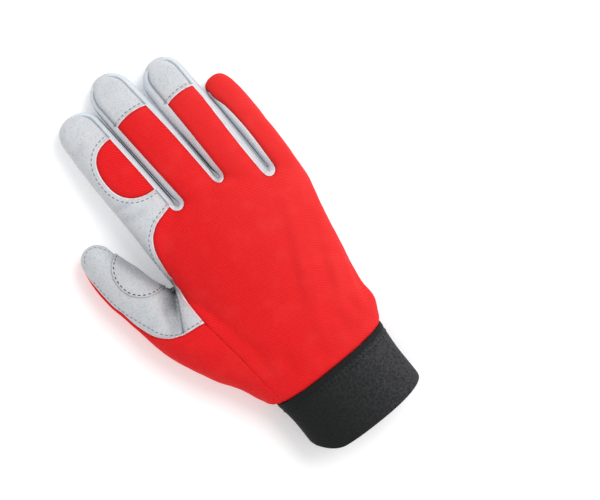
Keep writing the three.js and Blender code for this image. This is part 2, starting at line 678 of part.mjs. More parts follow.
// Red back of the hand, middle, ring and little finger. It reaches down the outer side of
// the hand to the palm's seam, and stops higher up beside the forefinger.
function backRegion() {
  const indexRoot = onPalm(0, FINGERS[0].root).y;
  const slit = slitAt(0, indexRoot);
  const tipEnd = indexRoot + MIDDLE_LENGTH;
  const rightOfSlit = [
    new THREE.Vector2(slit.x, indexRoot + SLIT_GAP),
    new THREE.Vector2(slitAt(0, tipEnd).x, tipEnd),
    new THREE.Vector2(slitAt(0, tipEnd).x, FAR),
  ];
  const littleMiddle = palmWidth - LITTLE_WIDTH / 2;
  const littleTip = onPalm(0, FINGERS[3].root).y + 0.7 * LITTLE_LENGTH;
  const outside = new THREE.Vector2(1.4 * palmWidth, FAR);
  const wristEnd = new THREE.Vector2(1.4 * palmWidth, THUMB_SEAM_FOOT.y);
  const arc = [onPalm(0.02, 0.85), onPalm(0.04, 0.92), onPalm(0.08, 0.975), onPalm(0.16, 1.015)];
  const over = [
    THUMB_SEAM_FOOT,
    onPalm(0.04, 0.3),
    NOTCH_TIP,
    onPalm(0.01, 0.72),
    onPalm(-0.012, 0.74),
    onPalm(-0.012, 0.825),
    ...arc,
    ...rightOfSlit,
    outside,
    wristEnd,
  ];
  const inner = [
    onPalm(0.3, -0.2),
    onPalm(0.3, 0.9),
    ...rightOfSlit.map((p) => new THREE.Vector2(p.x + SLIT_GAP, p.y)),
    outside,
    wristEnd,
  ];
  const rimLeft = (along) => {
    const right = columnAt(HAND_SECTIONS, "right", along) * palmWidth;
    return new THREE.Vector2(right - BACK_WRAP, onPalm(0, along).y);
  };
  const outerBand = [
    rimLeft(-0.2),
    rimLeft(0.4),
    rimLeft(0.8),
    new THREE.Vector2(littleMiddle, onPalm(0, 0.9).y),
    new THREE.Vector2(littleMiddle, littleTip),
    new THREE.Vector2(slitRoot(2), littleTip),
    new THREE.Vector2(slitRoot(2), FAR),
    outside,
    wristEnd,
  ];
  const highSeam = 0.58 * PALM_THICKNESS;
  const sideSeamHeight = 0.18 * PALM_THICKNESS;
  return (grow) =>
    union([
      prism(offsetOutline(over, grow), highSeam - grow, FAR),
      prism(offsetOutline(inner, grow), fingerSplit, highSeam + SEAM_GAP),
      prism(offsetOutline(outerBand, grow), sideSeamHeight - grow, fingerSplit + SEAM_GAP),
    ]);
}
cutPiece("back_panel", materials.knit, backRegion());
addPiece("palm_panel", materials.leather, rest);

// Leather patch sewn on to the side of the thumb that faces the forefinger.
function thumbPatch() {
  const outline = [
    [-0.155, 1.035],
    [-0.205, 1.0],
    [-0.235, 0.935],
    [-0.225, 0.85],
    [-0.18, 0.795],
    [-0.11, 0.765],
    [-0.02, 0.765],
    [-0.02, 1.035],
  ].map(([across, along]) => onPalm(across, along));
  const layer = thumbSolid(SEAM_GAP + PATCH_THICKNESS).subtract(thumbSolid(SEAM_GAP));
  return layer.intersect(prism(outline, 0.3 * THUMB_THICKNESS, FAR));
}
addPiece("thumb_patch", materials.leather, thumbPatch());

// Black cuff, with its open end sloping outwards on the back of the hand.
function cuffBand() {
  const lowEnd = cuffEdge(0, 0, -CUFF_END_DROP, 0);
  const highEnd = cuffEdge(cuffSeam, CUFF_SEAM_RISE, -CUFF_SEAM_DROP, -SEAM_GAP / 2);
  const between = crossPrism([...lowEnd, ...highEnd.reverse()]);
  return cuffSolid(0).subtract(cuffSolid(-CUFF_WALL)).intersect(between);
}
addPiece("cuff_band", materials.elastic, cuffBand());

// A layer that lies on the outside of the cuff, from one height above it to another.
const cuffLayer = (from, to) => cuffSolid(to).subtract(cuffSolid(from));

// Outline of the closure tab under the wrist: straight at its root near the little
// finger's side, and half round at its free end. "inset" shrinks it evenly.
const tabMiddle = 0.48 * cuffSeam;
const tabRoot = wristMiddle + 0.465 * WRIST_WIDTH;
function tabOutline(inset, root) {
  const radius = TAB_WIDTH / 2 - inset;
  const centre = tabRoot - TAB_LENGTH + TAB_WIDTH / 2;
  const points = [new THREE.Vector2(root, tabMiddle - radius), new THREE.Vector2(root, tabMiddle + radius)];
  const steps = 10;
  for (let i = 0; i <= steps; i++) {
    const angle = Math.PI * (0.5 + i / steps);
    points.push(new THREE.Vector2(centre + radius * Math.cos(angle), tabMiddle + radius * Math.sin(angle)));
  }
  return points;
}

const underWrist = (points) => prism(points, -FAR, wristWidest);
const tabTop = SEAM_GAP + TAB_THICKNESS;
const faceLayer = cuffLayer(tabTop + SEAM_GAP, tabTop + SEAM_GAP + TAB_FACE_THICKNESS);
const faceRoot = tabRoot - TAB_ROOT_WIDTH;
addPiece("closure_tab", materials.elastic, cuffLayer(SEAM_GAP, tabTop).intersect(underWrist(tabOutline(0, tabRoot))));
addPiece(
  "tab_panel",
  materials.moulded,
  faceLayer.intersect(underWrist(tabOutline(TAB_RIM_WIDTH + SEAM_GAP, faceRoot - SEAM_GAP))),
);
addPiece(
  "tab_rim",
  materials.elastic,
  faceLayer
    .intersect(underWrist(tabOutline(0, faceRoot - SEAM_GAP)))
    .subtract(underWrist(tabOutline(TAB_RIM_WIDTH, faceRoot + SEAM_GAP))),
);
const rootStrip = [
  new THREE.Vector2(faceRoot, tabMiddle - TAB_WIDTH / 2),
  new THREE.Vector2(tabRoot, tabMiddle - TAB_WIDTH / 2),
  new THREE.Vector2(tabRoot, tabMiddle + TAB_WIDTH / 2),
  new THREE.Vector2(faceRoot, tabMiddle + TAB_WIDTH / 2),
];
addPiece("tab_root_strip", materials.elastic, faceLayer.intersect(underWrist(rootStrip)));

// Binding around the cuff's upper edge, which stops at the closure tab.
function cuffBinding() {
  const lowEnd = cuffEdge(cuffSeam, CUFF_SEAM_RISE, -CUFF_SEAM_DROP, -BINDING_WIDTH);
  const highEnd = cuffEdge(cuffSeam, CUFF_SEAM_RISE, -CUFF_SEAM_DROP, -SEAM_GAP / 2);
  const ring = cuffLayer(SEAM_GAP, SEAM_GAP + BINDING_THICKNESS).intersect(crossPrism([...lowEnd, ...highEnd.reverse()]));
  return ring.subtract(underWrist(tabOutline(-SEAM_GAP, tabRoot + SEAM_GAP)));
}
addPiece("cuff_binding", materials.elastic, cuffBinding());

// The origin is the middle of the footprint.
const bounds = new THREE.Box3().setFromObject(glove, true);
const middle = bounds.getCenter(new THREE.Vector3());
glove.children.forEach((piece) => piece.position.set(-middle.x, -middle.y, -bounds.min.z));

export default glove;
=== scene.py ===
"""Looks of a right-hand mechanic's glove that lies palm down.

The glove's skin is modelled as one fine closed form, which is cut along its seams into
panels with their own thickness. Shapes are worked out in millimetres in the drafting
frame: X from the forefinger to the little finger, Y from the wrist to the fingertips and
Z from the palm to the back of the hand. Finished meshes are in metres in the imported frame.
"""

from __future__ import annotations

import logging
import math
from collections.abc import Callable, Iterable, Iterator, Sequence
from dataclasses import dataclass
from enum import Enum

import bmesh
import bpy
import numpy as np
from mathutils import Matrix, Vector, noise
from mathutils.bvhtree import BVHTree
from mathutils.kdtree import KDTree


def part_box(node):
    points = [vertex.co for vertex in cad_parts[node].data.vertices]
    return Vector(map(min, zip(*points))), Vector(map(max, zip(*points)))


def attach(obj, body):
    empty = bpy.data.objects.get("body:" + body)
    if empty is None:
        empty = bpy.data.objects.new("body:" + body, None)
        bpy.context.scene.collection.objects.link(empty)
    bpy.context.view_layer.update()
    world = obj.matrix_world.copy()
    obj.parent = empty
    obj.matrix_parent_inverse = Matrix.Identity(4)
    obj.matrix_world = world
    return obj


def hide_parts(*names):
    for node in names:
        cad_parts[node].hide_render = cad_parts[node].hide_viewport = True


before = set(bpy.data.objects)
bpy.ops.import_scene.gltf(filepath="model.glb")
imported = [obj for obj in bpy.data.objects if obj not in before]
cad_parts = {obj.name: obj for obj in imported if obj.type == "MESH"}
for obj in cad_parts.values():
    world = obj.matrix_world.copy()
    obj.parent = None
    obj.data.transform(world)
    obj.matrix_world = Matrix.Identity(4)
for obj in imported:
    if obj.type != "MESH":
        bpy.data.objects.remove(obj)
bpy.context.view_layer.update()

MILLIMETRE = 0.001
FAR = 400.0

Outline = tuple[tuple[float, float], ...]
Ramp = tuple[float, float]

log = logging.getLogger("glove")


@dataclass(frozen=True)
class GloveSizes:
    """Driving sizes of the glove, in millimetres."""

    cuff_height: float = 38.0
    cuff_seam_rise: float = 2.5
    cuff_seam_drop: float = 4.2
    cuff_end_drop: float = 8.0
    palm_length: float = 122.0
    thumb_length: float = 122.5
    thumb_width: float = 27.0
    thumb_thickness: float = 27.0
    wrist_width: float = 77.0
    wrist_thickness: float = 34.0
    wrist_bottom: float = 3.1
    palm_thickness: float = 40.0
    rest_press: float = 1.2
    slit_gap: float = 1.5
    seam_inset: float = 2.6
    back_wrap: float = 9.0

    @property
    def palm_width(self) -> float:
        """Width of the hand at the roots of the fingers."""
        return sum(finger.width for finger in FINGERS) + 3 * self.slit_gap

    @property
    def wrist_middle(self) -> float:
        """Place of the wrist's middle across the hand."""
        return 0.41 * self.palm_width

    @property
    def wrist_widest(self) -> float:
        """Height of the wrist's widest place."""
        return self.wrist_bottom + 0.46 * self.wrist_thickness

    @property
    def wrist_top(self) -> float:
        """Height of the wrist's back."""
        return self.wrist_bottom + self.wrist_thickness

    def on_palm(self, across: float, along: float) -> tuple[float, float]:
        """Plan point at a share of the palm's width and a share of its length."""
        return across * self.palm_width, self.cuff_height + along * self.palm_length


@dataclass(frozen=True)
class Finger:
    """One finger stall; root is a share of the palm's length.

    Its tip leans across the hand, and its bluntness is 1 for a round tip and less for a
    squarer one.
    """

    name: str
    root: float
    length: float
    width: float
    thickness: float
    tip_lean: float = 0.0
    bluntness: float = 0.85


@dataclass(frozen=True)
class SlitRow:
    """Row of a slit: place as a share of the shorter finger, gap and seam distances.

    The seams lie at distances from the gap on its left and on its right, in millimetres.
    """

    along: float
    gap: float
    left: float
    right: float


@dataclass(frozen=True)
class Slit:
    """Gap between two fingers: where it starts, how it leans and its rows.

    Its walls meet at the height of its floor; bias is the left wall's share of the way.
    Its bottom line has a depth of painted shade at the web and one near the fingertips.
    """

    name: str
    web: float
    lean: float
    floor: float
    bias: float
    shade_depths: tuple[float, float]
    rows: tuple[SlitRow, ...]


@dataclass(frozen=True)
class HandSection:
    """Section of the hand, in shares of the palm's length, width and thickness."""

    along: float
    wrist: float
    left: float
    right: float
    bottom: float
    top: float
    widest: float
    skew: float


@dataclass(frozen=True)
class FingerSection:
    """Section of a finger, in shares of its own length, width and thickness."""

    along: float
    width: float
    thickness: float
    lift: float


@dataclass(frozen=True)
class ThumbSection:
    """Section of the thumb, in shares of its length, width and thickness."""

    along: float
    out: float
    half: float
    bottom: float
    top: float


@dataclass(frozen=True)
class Gather:
    """Pucker of the palm where it is sewn to the cuff."""

    across: float
    depth: float
    reach: float


FINGERS = (
    Finger("index", 1.025, 81.0, 31.0, 26.0),
    Finger("middle", 1.01, 90.0, 27.0, 26.0),
    Finger("ring", 1.0, 79.0, 24.0, 26.0),
    Finger("little", 0.87, 66.0, 17.0, 21.5, -1.4, 0.6),
)
SLITS = (
    Slit(
        "index_middle",
        1.02,
        -0.05,
        13.0,
        0.5,
        (1.0, 0.85),
        (SlitRow(0.0, 1.6, 2.6, 2.9), SlitRow(0.4, 1.5, 2.2, 2.7), SlitRow(1.0, 2.0, 2.6, 2.2)),
    ),
    Slit(
        "middle_ring",
        1.0,
        -0.03,
        15.0,
        0.25,
        (1.0, 0.25),
        (SlitRow(0.0, 1.5, 1.8, 1.9), SlitRow(0.5, 2.7, 1.6, 3.0), SlitRow(1.0, 5.6, 2.4, 2.2)),
    ),
    Slit(
        "ring_little",
        0.87,
        -0.006,
        17.0,
        0.65,
        (0.4, 0.2),
        (
            SlitRow(0.0, 3.2, 1.5, 1.7),
            SlitRow(0.4, 3.6, 1.4, 2.9),
            SlitRow(0.7, 2.6, 1.4, 2.4),
            SlitRow(0.88, 1.4, 1.6, 0.5),
            SlitRow(1.1, 1.3, 2.2, 0.3),
        ),
    ),
)
HAND_SECTIONS = (
    HandSection(-0.08, 1.0, 0.0, 0.85, 0.0, 1.0, 0.42, 0.0),
    HandSection(0.0, 1.0, 0.0, 0.85, 0.0, 1.0, 0.42, 0.0),
    HandSection(0.05, 0.6, 0.0, 0.87, 0.0, 1.0, 0.42, 0.0),
    HandSection(0.11, 0.15, 0.0, 0.858, 0.0, 1.01, 0.42, 0.0),
    HandSection(0.2, 0.0, 0.0, 0.845, 0.0, 1.0, 0.42, 0.0),
    HandSection(0.4, 0.0, 0.0, 0.885, 0.0, 0.99, 0.41, 0.0),
    HandSection(0.62, 0.0, 0.0, 0.935, 0.0, 0.99, 0.4, 0.15),
    HandSection(0.8, 0.0, 0.0, 0.973, 0.0, 0.93, 0.4, 0.5),
    HandSection(0.92, 0.0, 0.0, 0.986, 0.0, 0.82, 0.4, 0.8),
    HandSection(1.07, 0.0, 0.006, 0.99, 0.08, 0.58, 0.4, 1.0),
)
FINGER_SECTIONS = (
    FingerSection(-0.22, 0.97, 0.98, 0.16),
    FingerSection(0.0, 1.0, 1.0, 0.17),
    FingerSection(0.3, 1.0, 0.93, 0.16),
    FingerSection(0.6, 1.0, 0.87, 0.11),
    FingerSection(0.84, 0.97, 0.8, 0.0),
)
THUMB_SECTIONS = (
    ThumbSection(-0.16, -0.06, 0.7, 0.14, 1.26),
    ThumbSection(0.0, 0.004, 0.79, 0.06, 1.3),
    ThumbSection(0.1, 0.053, 0.772, 0.027, 1.3),
    ThumbSection(0.22, 0.117, 0.82, 0.0, 1.28),
    ThumbSection(0.433, 0.231, 0.722, 0.0, 1.16),
    ThumbSection(0.612, 0.302, 0.53, 0.0, 1.04),
    ThumbSection(0.759, 0.333, 0.49, 0.02, 0.96),
    ThumbSection(0.873, 0.35, 0.4, 0.05, 0.88),
    ThumbSection(0.914, 0.35, 0.355, 0.06, 0.84),
)
GATHERS = (
    Gather(0.2, 2.2, 0.14),
    Gather(0.3, 3.0, 0.2),
    Gather(0.39, 2.6, 0.14),
    Gather(0.47, 3.3, 0.24),
    Gather(0.56, 2.8, 0.16),
    Gather(0.65, 3.1, 0.22),
    Gather(0.74, 2.4, 0.15),
    Gather(0.85, 1.8, 0.11),
)
SIZES = GloveSizes()
THUMB_ROOT = (0.166, 0.14)
HAND_SQUARENESS = (2.4, 3.6)
FINGER_SQUARENESS = 2.6
THUMB_SQUARENESS = 2.3
FINGER_WIDEST = 0.47
# The little finger's outer side narrows to its root between two places along the glove.
OUTER_TAPER = 1.9
OUTER_TAPER_ENDS = (120.0, 160.0)
TIP_STEPS = (0, 14, 28, 41, 53, 64, 74, 82, 87)
# Distances past a slit's web where its painted shade changes, and from its middle where the painted shade
# ends.
SLIT_SHADE_CHANGE = (18.0, 50.0)
SLIT_SHADE_EDGE = (0.3, 1.35)
CALM_EDGE = (3.0, 7.0)
GATHER_WIDTH = 0.022
FINGER_SPLIT = 0.33 * SIZES.palm_thickness
THUMB_SPLIT = 0.52 * SIZES.thumb_thickness


def follow(rows: Sequence[object], column: str, at: float) -> float:
    """Smooth value of a table's column between its rows.

    Args:
        rows: Table rows, sorted by their ``along`` value.
        column: Name of the column to read.
        at: Place to read it at.

    Returns:
        The value on a cubic curve through the rows, held level past the ends.
    """
    places = [row.along for row in rows]
    values = [getattr(row, column) for row in rows]
    if at <= places[0]:
        return values[0]
    if at >= places[-1]:
        return values[-1]
    i = next(k for k in range(1, len(places)) if places[k] >= at) - 1
    slopes = []
    for k in (i, i + 1):
        low, high = max(k - 1, 0), min(k + 1, len(places) - 1)
        slopes.append((values[high] - values[low]) / (places[high] - places[low]))
    span = places[i + 1] - places[i]
    t = (at - places[i]) / span
    start = (2 * t**3 - 3 * t**2 + 1) * values[i] + (t**3 - 2 * t**2 + t) * span * slopes[0]
    end = (3 * t**2 - 2 * t**3) * values[i + 1] + (t**3 - t**2) * span * slopes[1]
    return start + end


def slit_root(index: int) -> float:
    """Place across the hand where a slit starts, midway in its gap."""
    return sum(f.width for f in FINGERS[: index + 1]) + (index + 0.5) * SIZES.slit_gap


def slit_row(index: int, y: float) -> SlitRow:
    """Row of a slit at a place along the glove."""
    slit = SLITS[index]
    shorter = min(FINGERS[index].length, FINGERS[index + 1].length)
    along = (y - SIZES.on_palm(0, slit.web)[1]) / shorter
    return SlitRow(along, *[follow(slit.rows, name, along) for name in ("gap", "left", "right")])


def slit_at(index: int, y: float) -> tuple[float, float]:
    """Middle and gap of a slit at a place along the glove."""
    slit = SLITS[index]
    beyond = max(0.0, y - SIZES.on_palm(0, slit.web)[1])
    return slit_root(index) + slit.lean * beyond, slit_row(index, y).gap


def finger_sides(index: int, y: float) -> tuple[float, float]:
    """Left and right side of a finger at a place along the glove."""
    left, right = 0.0, SIZES.palm_width
    if index > 0:
        middle, gap = slit_at(index - 1, y)
        left = middle + gap / 2
    if index < len(SLITS):
        middle, gap = slit_at(index, y)
        right = middle - gap / 2
    else:
        right -= OUTER_TAPER * (1 - float(smooth_step(y, *OUTER_TAPER_ENDS)))
    return left, right


def tip_shift(index: int, y: float) -> float:
    """How far a finger's tip has leant over at a place along the glove."""
    finger = FINGERS[index]
    begin = finger_root(index) + 0.72 * finger.length
    return finger.tip_lean * float(smooth_step(y, begin, finger_root(index) + finger.length))


def web_line(x: float) -> float:
    """Place along the glove of the line of finger roots, at a place across it."""
    across = [0.0] + [slit_root(i) for i in range(len(SLITS))] + [SIZES.palm_width]
    webs = [1.03] + [slit.web for slit in SLITS] + [0.83]
    return SIZES.cuff_height + SIZES.palm_length * float(np.interp(x, across, webs))


def finger_root(index: int) -> float:
    """Place along the glove of a finger's root."""
    return SIZES.on_palm(0, FINGERS[index].root)[1]


def thumb_middle(along: float) -> Vector:
    """Plan point on the thumb's middle line, at a share of its length."""
    root = SIZES.on_palm(*THUMB_ROOT)
    out = follow(THUMB_SECTIONS, "out", along) * SIZES.thumb_length
    return Vector((root[0] - out, root[1] + along * SIZES.thumb_length))


def smooth_line(points: Sequence[tuple[float, float]], steps: int = 6) -> Outline:
    """Rounded line through plan points.

    Args:
        points: Corners of the line.
        steps: New points for each stretch.

    Returns:
        The rounded line, with the same ends.
    """
    corners = [np.array(point, float) for point in points]
    corners = [2 * corners[0] - corners[1], *corners, 2 * corners[-1] - corners[-2]]
    line = []
    for a, b, c, d in zip(corners, corners[1:], corners[2:], corners[3:]):
        for t in np.arange(steps) / steps:
            curve = 2 * b + (c - a) * t + (2 * a - 5 * b + 4 * c - d) * t**2
            curve += (3 * b - a - 3 * c + d) * t**3
            line.append(tuple(0.5 * curve))
    line.append(tuple(corners[-2]))
    return tuple(line)


def smooth_step(values: np.ndarray | float, low: float, high: float) -> np.ndarray | float:
    """Soft ramp from 0 at ``low`` to 1 at ``high``."""
    t = np.clip((values - low) / (high - low), 0.0, 1.0)
    return t * t * (3 - 2 * t)


def half_section(half_width: float, height: float, squareness: float, sides: int) -> np.ndarray:
    """Half of a rounded section as equally spaced points, from right to left.

    Args:
        half_width: Distance from the middle to each side.
        height: Height of the half, negative for the lower one.
        squareness: 2 for an ellipse, more for squarer corners.
        sides: Number of points.

    Returns:
        Points as rows of (across, up).
    """
    angle = np.linspace(0.0, math.pi, 8 * sides + 1)
    power = 2 / squareness
    across = half_width * np.sign(np.cos(angle)) * np.abs(np.cos(angle)) ** power
    up = height * np.abs(np.sin(angle)) ** power
    run = np.concatenate([[0.0], np.cumsum(np.hypot(np.diff(across), np.diff(up)))])
    at = np.arange(sides) / sides * run[-1]
    return np.stack([np.interp(at, run, across), np.interp(at, run, up)], axis=1)


@dataclass
class Section:
    """Upright rounded section of the skin."""

    centre: Vector
    heading: Vector
    half_width: float
    up: float
    down: float
    squareness: tuple[float, float]
    sides: int

    def ring(self) -> list[Vector]:
        """Points around the section, pressed flat where it rests."""
        top = half_section(self.half_width, self.up, self.squareness[0], self.sides)
        bottom = half_section(self.half_width, -self.down, self.squareness[1], self.sides)
        bottom[:, 0] *= -1
        across = Vector((self.heading.y, -self.heading.x))
        points = []
        for offset, rise in np.concatenate([top, bottom]):
            z = max(self.centre.z + rise, 0.0)
            points.append(Vector((self.centre.x + across.x * offset, self.centre.y + across.y * offset, z)))
        return points


class Loft:
    """Closed skin over a row of rings, made with bridged circles."""

    def __init__(self) -> None:
        """Starts with an empty mesh."""
        self.bm = bmesh.new()

    def add_ring(self, points: Sequence[Vector]) -> list[bmesh.types.BMEdge]:
        """Adds one ring of edges through the points."""
        made = bmesh.ops.create_circle(self.bm, segments=len(points), radius=1.0)
        for vertex, point in zip(made["verts"], points):
            vertex.co = point
        return list({edge for vertex in made["verts"] for edge in vertex.link_edges})

    def add_skin(self, rings: Sequence[Sequence[Vector]], closed: bool = False) -> None:
        """Bridges the rings, then fills both ends or joins them to each other.

        Args:
            rings: Rings of equal length, in order.
            closed: Whether the last ring joins the first.
        """
        loops = [self.add_ring(ring) for ring in rings]
        for first, second in zip(loops, loops[1:]):
            bmesh.ops.bridge_loops(self.bm, edges=first + second)
        if closed:
            bmesh.ops.bridge_loops(self.bm, edges=loops[-1] + loops[0])
        else:
            for end in (loops[0], loops[-1]):
                bmesh.ops.contextual_create(self.bm, geom=end)

    def finish(self) -> bmesh.types.BMesh:
        """Gives the mesh with every face pointing outwards."""
        bmesh.ops.recalc_face_normals(self.bm, faces=self.bm.faces[:])
        return self.bm


class FloorSide(Enum):
    """Side of the glove that a fold, shade or row of stitches is on."""

    BACK = 1
    PALM = -1


@dataclass(frozen=True)
class Fold:
    """Crease or swelling of the skin between two plan points.

    Positive height stands proud, negative sinks in; both ends fade out.
    """

    start: tuple[float, float]
    end: tuple[float, float]
    width: float
    height: float


@dataclass(frozen=True)
class Valley:
    """Dent with one steep side, which deepens from its start to its end.

    The steep side is on the right, seen from the start.
    """

    start: tuple[float, float]
    end: tuple[float, float]
    depth: float
    width: float
    edge: float

    def depth_at(self, points: np.ndarray, normals: np.ndarray) -> np.ndarray:
        """How far each vertex sinks.

        Args:
            points: Places as rows of x, y and z.
            normals: Outward directions at those places.

        Returns:
            Depths in millimetres.
        """
        start, end = np.array(self.start), np.array(self.end)
        line = (end - start) / np.linalg.norm(end - start)
        along = ((points[:, :2] - start) @ line) / np.linalg.norm(end - start)
        left = (points[:, 1] - start[1]) * line[0] - (points[:, 0] - start[0]) * line[1]
        rise = smooth_step(left, -self.edge, self.edge)
        fall = np.exp(-((np.maximum(left - self.edge, 0) / self.width) ** 2))
        deepens = smooth_step(along, 0.0, 0.85) * (1 - smooth_step(along, 1.15, 1.5))
        return self.depth * rise * fall * deepens * smooth_step(normals[:, 2], -0.1, 0.4)


@dataclass(frozen=True)
class Shade:
    """Soft stroke of painted shade between two plan points."""

    start: tuple[float, float]
    end: tuple[float, float]
    width: float
    amount: float
    side: FloorSide = FloorSide.BACK

    def on(self, points: np.ndarray, normals: np.ndarray) -> np.ndarray:
        """Amount of shade on each vertex.

        Args:
            points: Places as rows of x, y and z.
            normals: Outward directions at those places.

        Returns:
            Amounts from 0 to 1.
        """
        start, end = np.array(self.start, float), np.array(self.end, float)
        line = end - start
        share = np.clip(((points[:, :2] - start) @ line) / (line @ line), 0, 1)
        away = np.linalg.norm(points[:, :2] - (start + share[:, None] * line), axis=1)
        facing = smooth_step(normals[:, 2] * self.side.value, -0.6, -0.1)
        return self.amount * np.exp(-((away / self.width) ** 2)) * facing


CROTCH_VALLEY = Valley((-14, 103), (-1.5, 125), 7.0, 7.5, 0.8)
SHADES = (
    Shade((-13, 160), (-5, 134), 7.0, 0.6),
    Shade((-9, 152), (-5, 138), 3.6, 0.95),
    Shade((-5, 133), (-2, 127), 3.4, 1.0),
    Shade((-12, 109), (-5, 122), 7.0, 0.5),
    Shade((-26, 165), (-14, 112), 17.0, 0.14),
    Shade((-18, 152), (-12, 138), 8.0, 0.22),
    Shade((1, 122), (-1, 119), 2.4, 0.8, FloorSide.PALM),
)
BACK_FOLDS = (
    Fold((98, 126), (72, 62), 5.0, 1.7),
    Fold((92, 116), (64, 56), 3.4, -1.3),
    Fold((84, 132), (54, 66), 4.5, 1.2),
    Fold((78, 124), (50, 74), 3.6, -0.8),
    Fold((97, 98), (82, 50), 3.0, -1.4),
    Fold((90, 88), (75, 44), 3.4, 1.2),
    Fold((74, 92), (46, 46), 5.5, 1.0),
    Fold((66, 72), (50, 44), 3.6, -0.8),
    Fold((30, 60), (8, 92), 6.0, 0.8),
    Fold((6, 104), (22, 138), 5.0, -0.6),
    Fold((99, 138), (99, 168), 3.0, -0.6),
    Fold((22, 42), (26, 60), 4.0, -1.0),
    Fold((44, 38), (46, 58), 4.5, -0.8),
    Fold((64, 38), (63, 60), 4.0, -1.0),
    Fold((78, 40), (72, 64), 3.0, -0.9),
)
FINGER_FOLDS = (
    Fold((1, 176), (16, 172), 2.4, -0.7),
    Fold((0, 184), (10, 181), 2.2, -0.6),
    Fold((1, 222), (12, 226), 2.6, -0.5),
    Fold((34, 186), (54, 184), 3.0, -0.45),
    Fold((36, 203), (52, 205), 3.0, -0.4),
    Fold((63, 184), (82, 180), 3.0, -0.45),
    Fold((90, 170), (102, 168), 2.6, -0.45),
    Fold((90, 182), (102, 184), 2.6, -0.4),
)
THUMB_FOLDS = (
    Fold((-17, 110), (-12, 122), 1.6, -0.8),
    Fold((-27, 112), (-14, 119), 3.0, 0.8),
    Fold((-12, 160), (-4, 134), 4.0, -1.6),
    Fold((-33, 138), (-20, 133), 3.0, -0.5),
    Fold((-22, 96), (-2, 84), 5.0, 0.9),
    Fold((-12, 84), (4, 66), 5.0, -0.9),
)
PALM_FOLDS = (
    Fold((3, 158), (30, 163), 2.0, -2.0),
    Fold((34, 164), (58, 163), 2.0, -2.0),
    Fold((62, 162), (84, 156), 2.0, -2.0),
    Fold((88, 148), (102, 143), 2.0, -1.8),
    Fold((3, 125), (24, 150), 2.4, -2.4),
    Fold((8, 124), (30, 150), 2.4, 1.0),
    Fold((1, 122), (29, 117), 1.8, -1.9),
    Fold((-1, 121), (-6, 103), 1.6, -3.2),
    Fold((-8, 122), (-16, 97), 1.8, -2.8),
    Fold((-4, 118), (-12, 96), 2.0, 1.0),
    Fold((30, 138), (96, 118), 4.0, -1.1),
    Fold((24, 104), (44, 52), 5.0, -1.1),
    Fold((50, 158), (58, 142), 3.0, -1.4),
    Fold((72, 152), (76, 136), 3.4, -1.0),
    Fold((2, 200), (28, 200), 2.6, -0.9),
    Fold((32, 204), (56, 204), 2.6, -0.9),
    Fold((62, 198), (84, 198), 2.6, -0.9),
    Fold((88, 178), (102, 178), 2.4, -0.9),
)


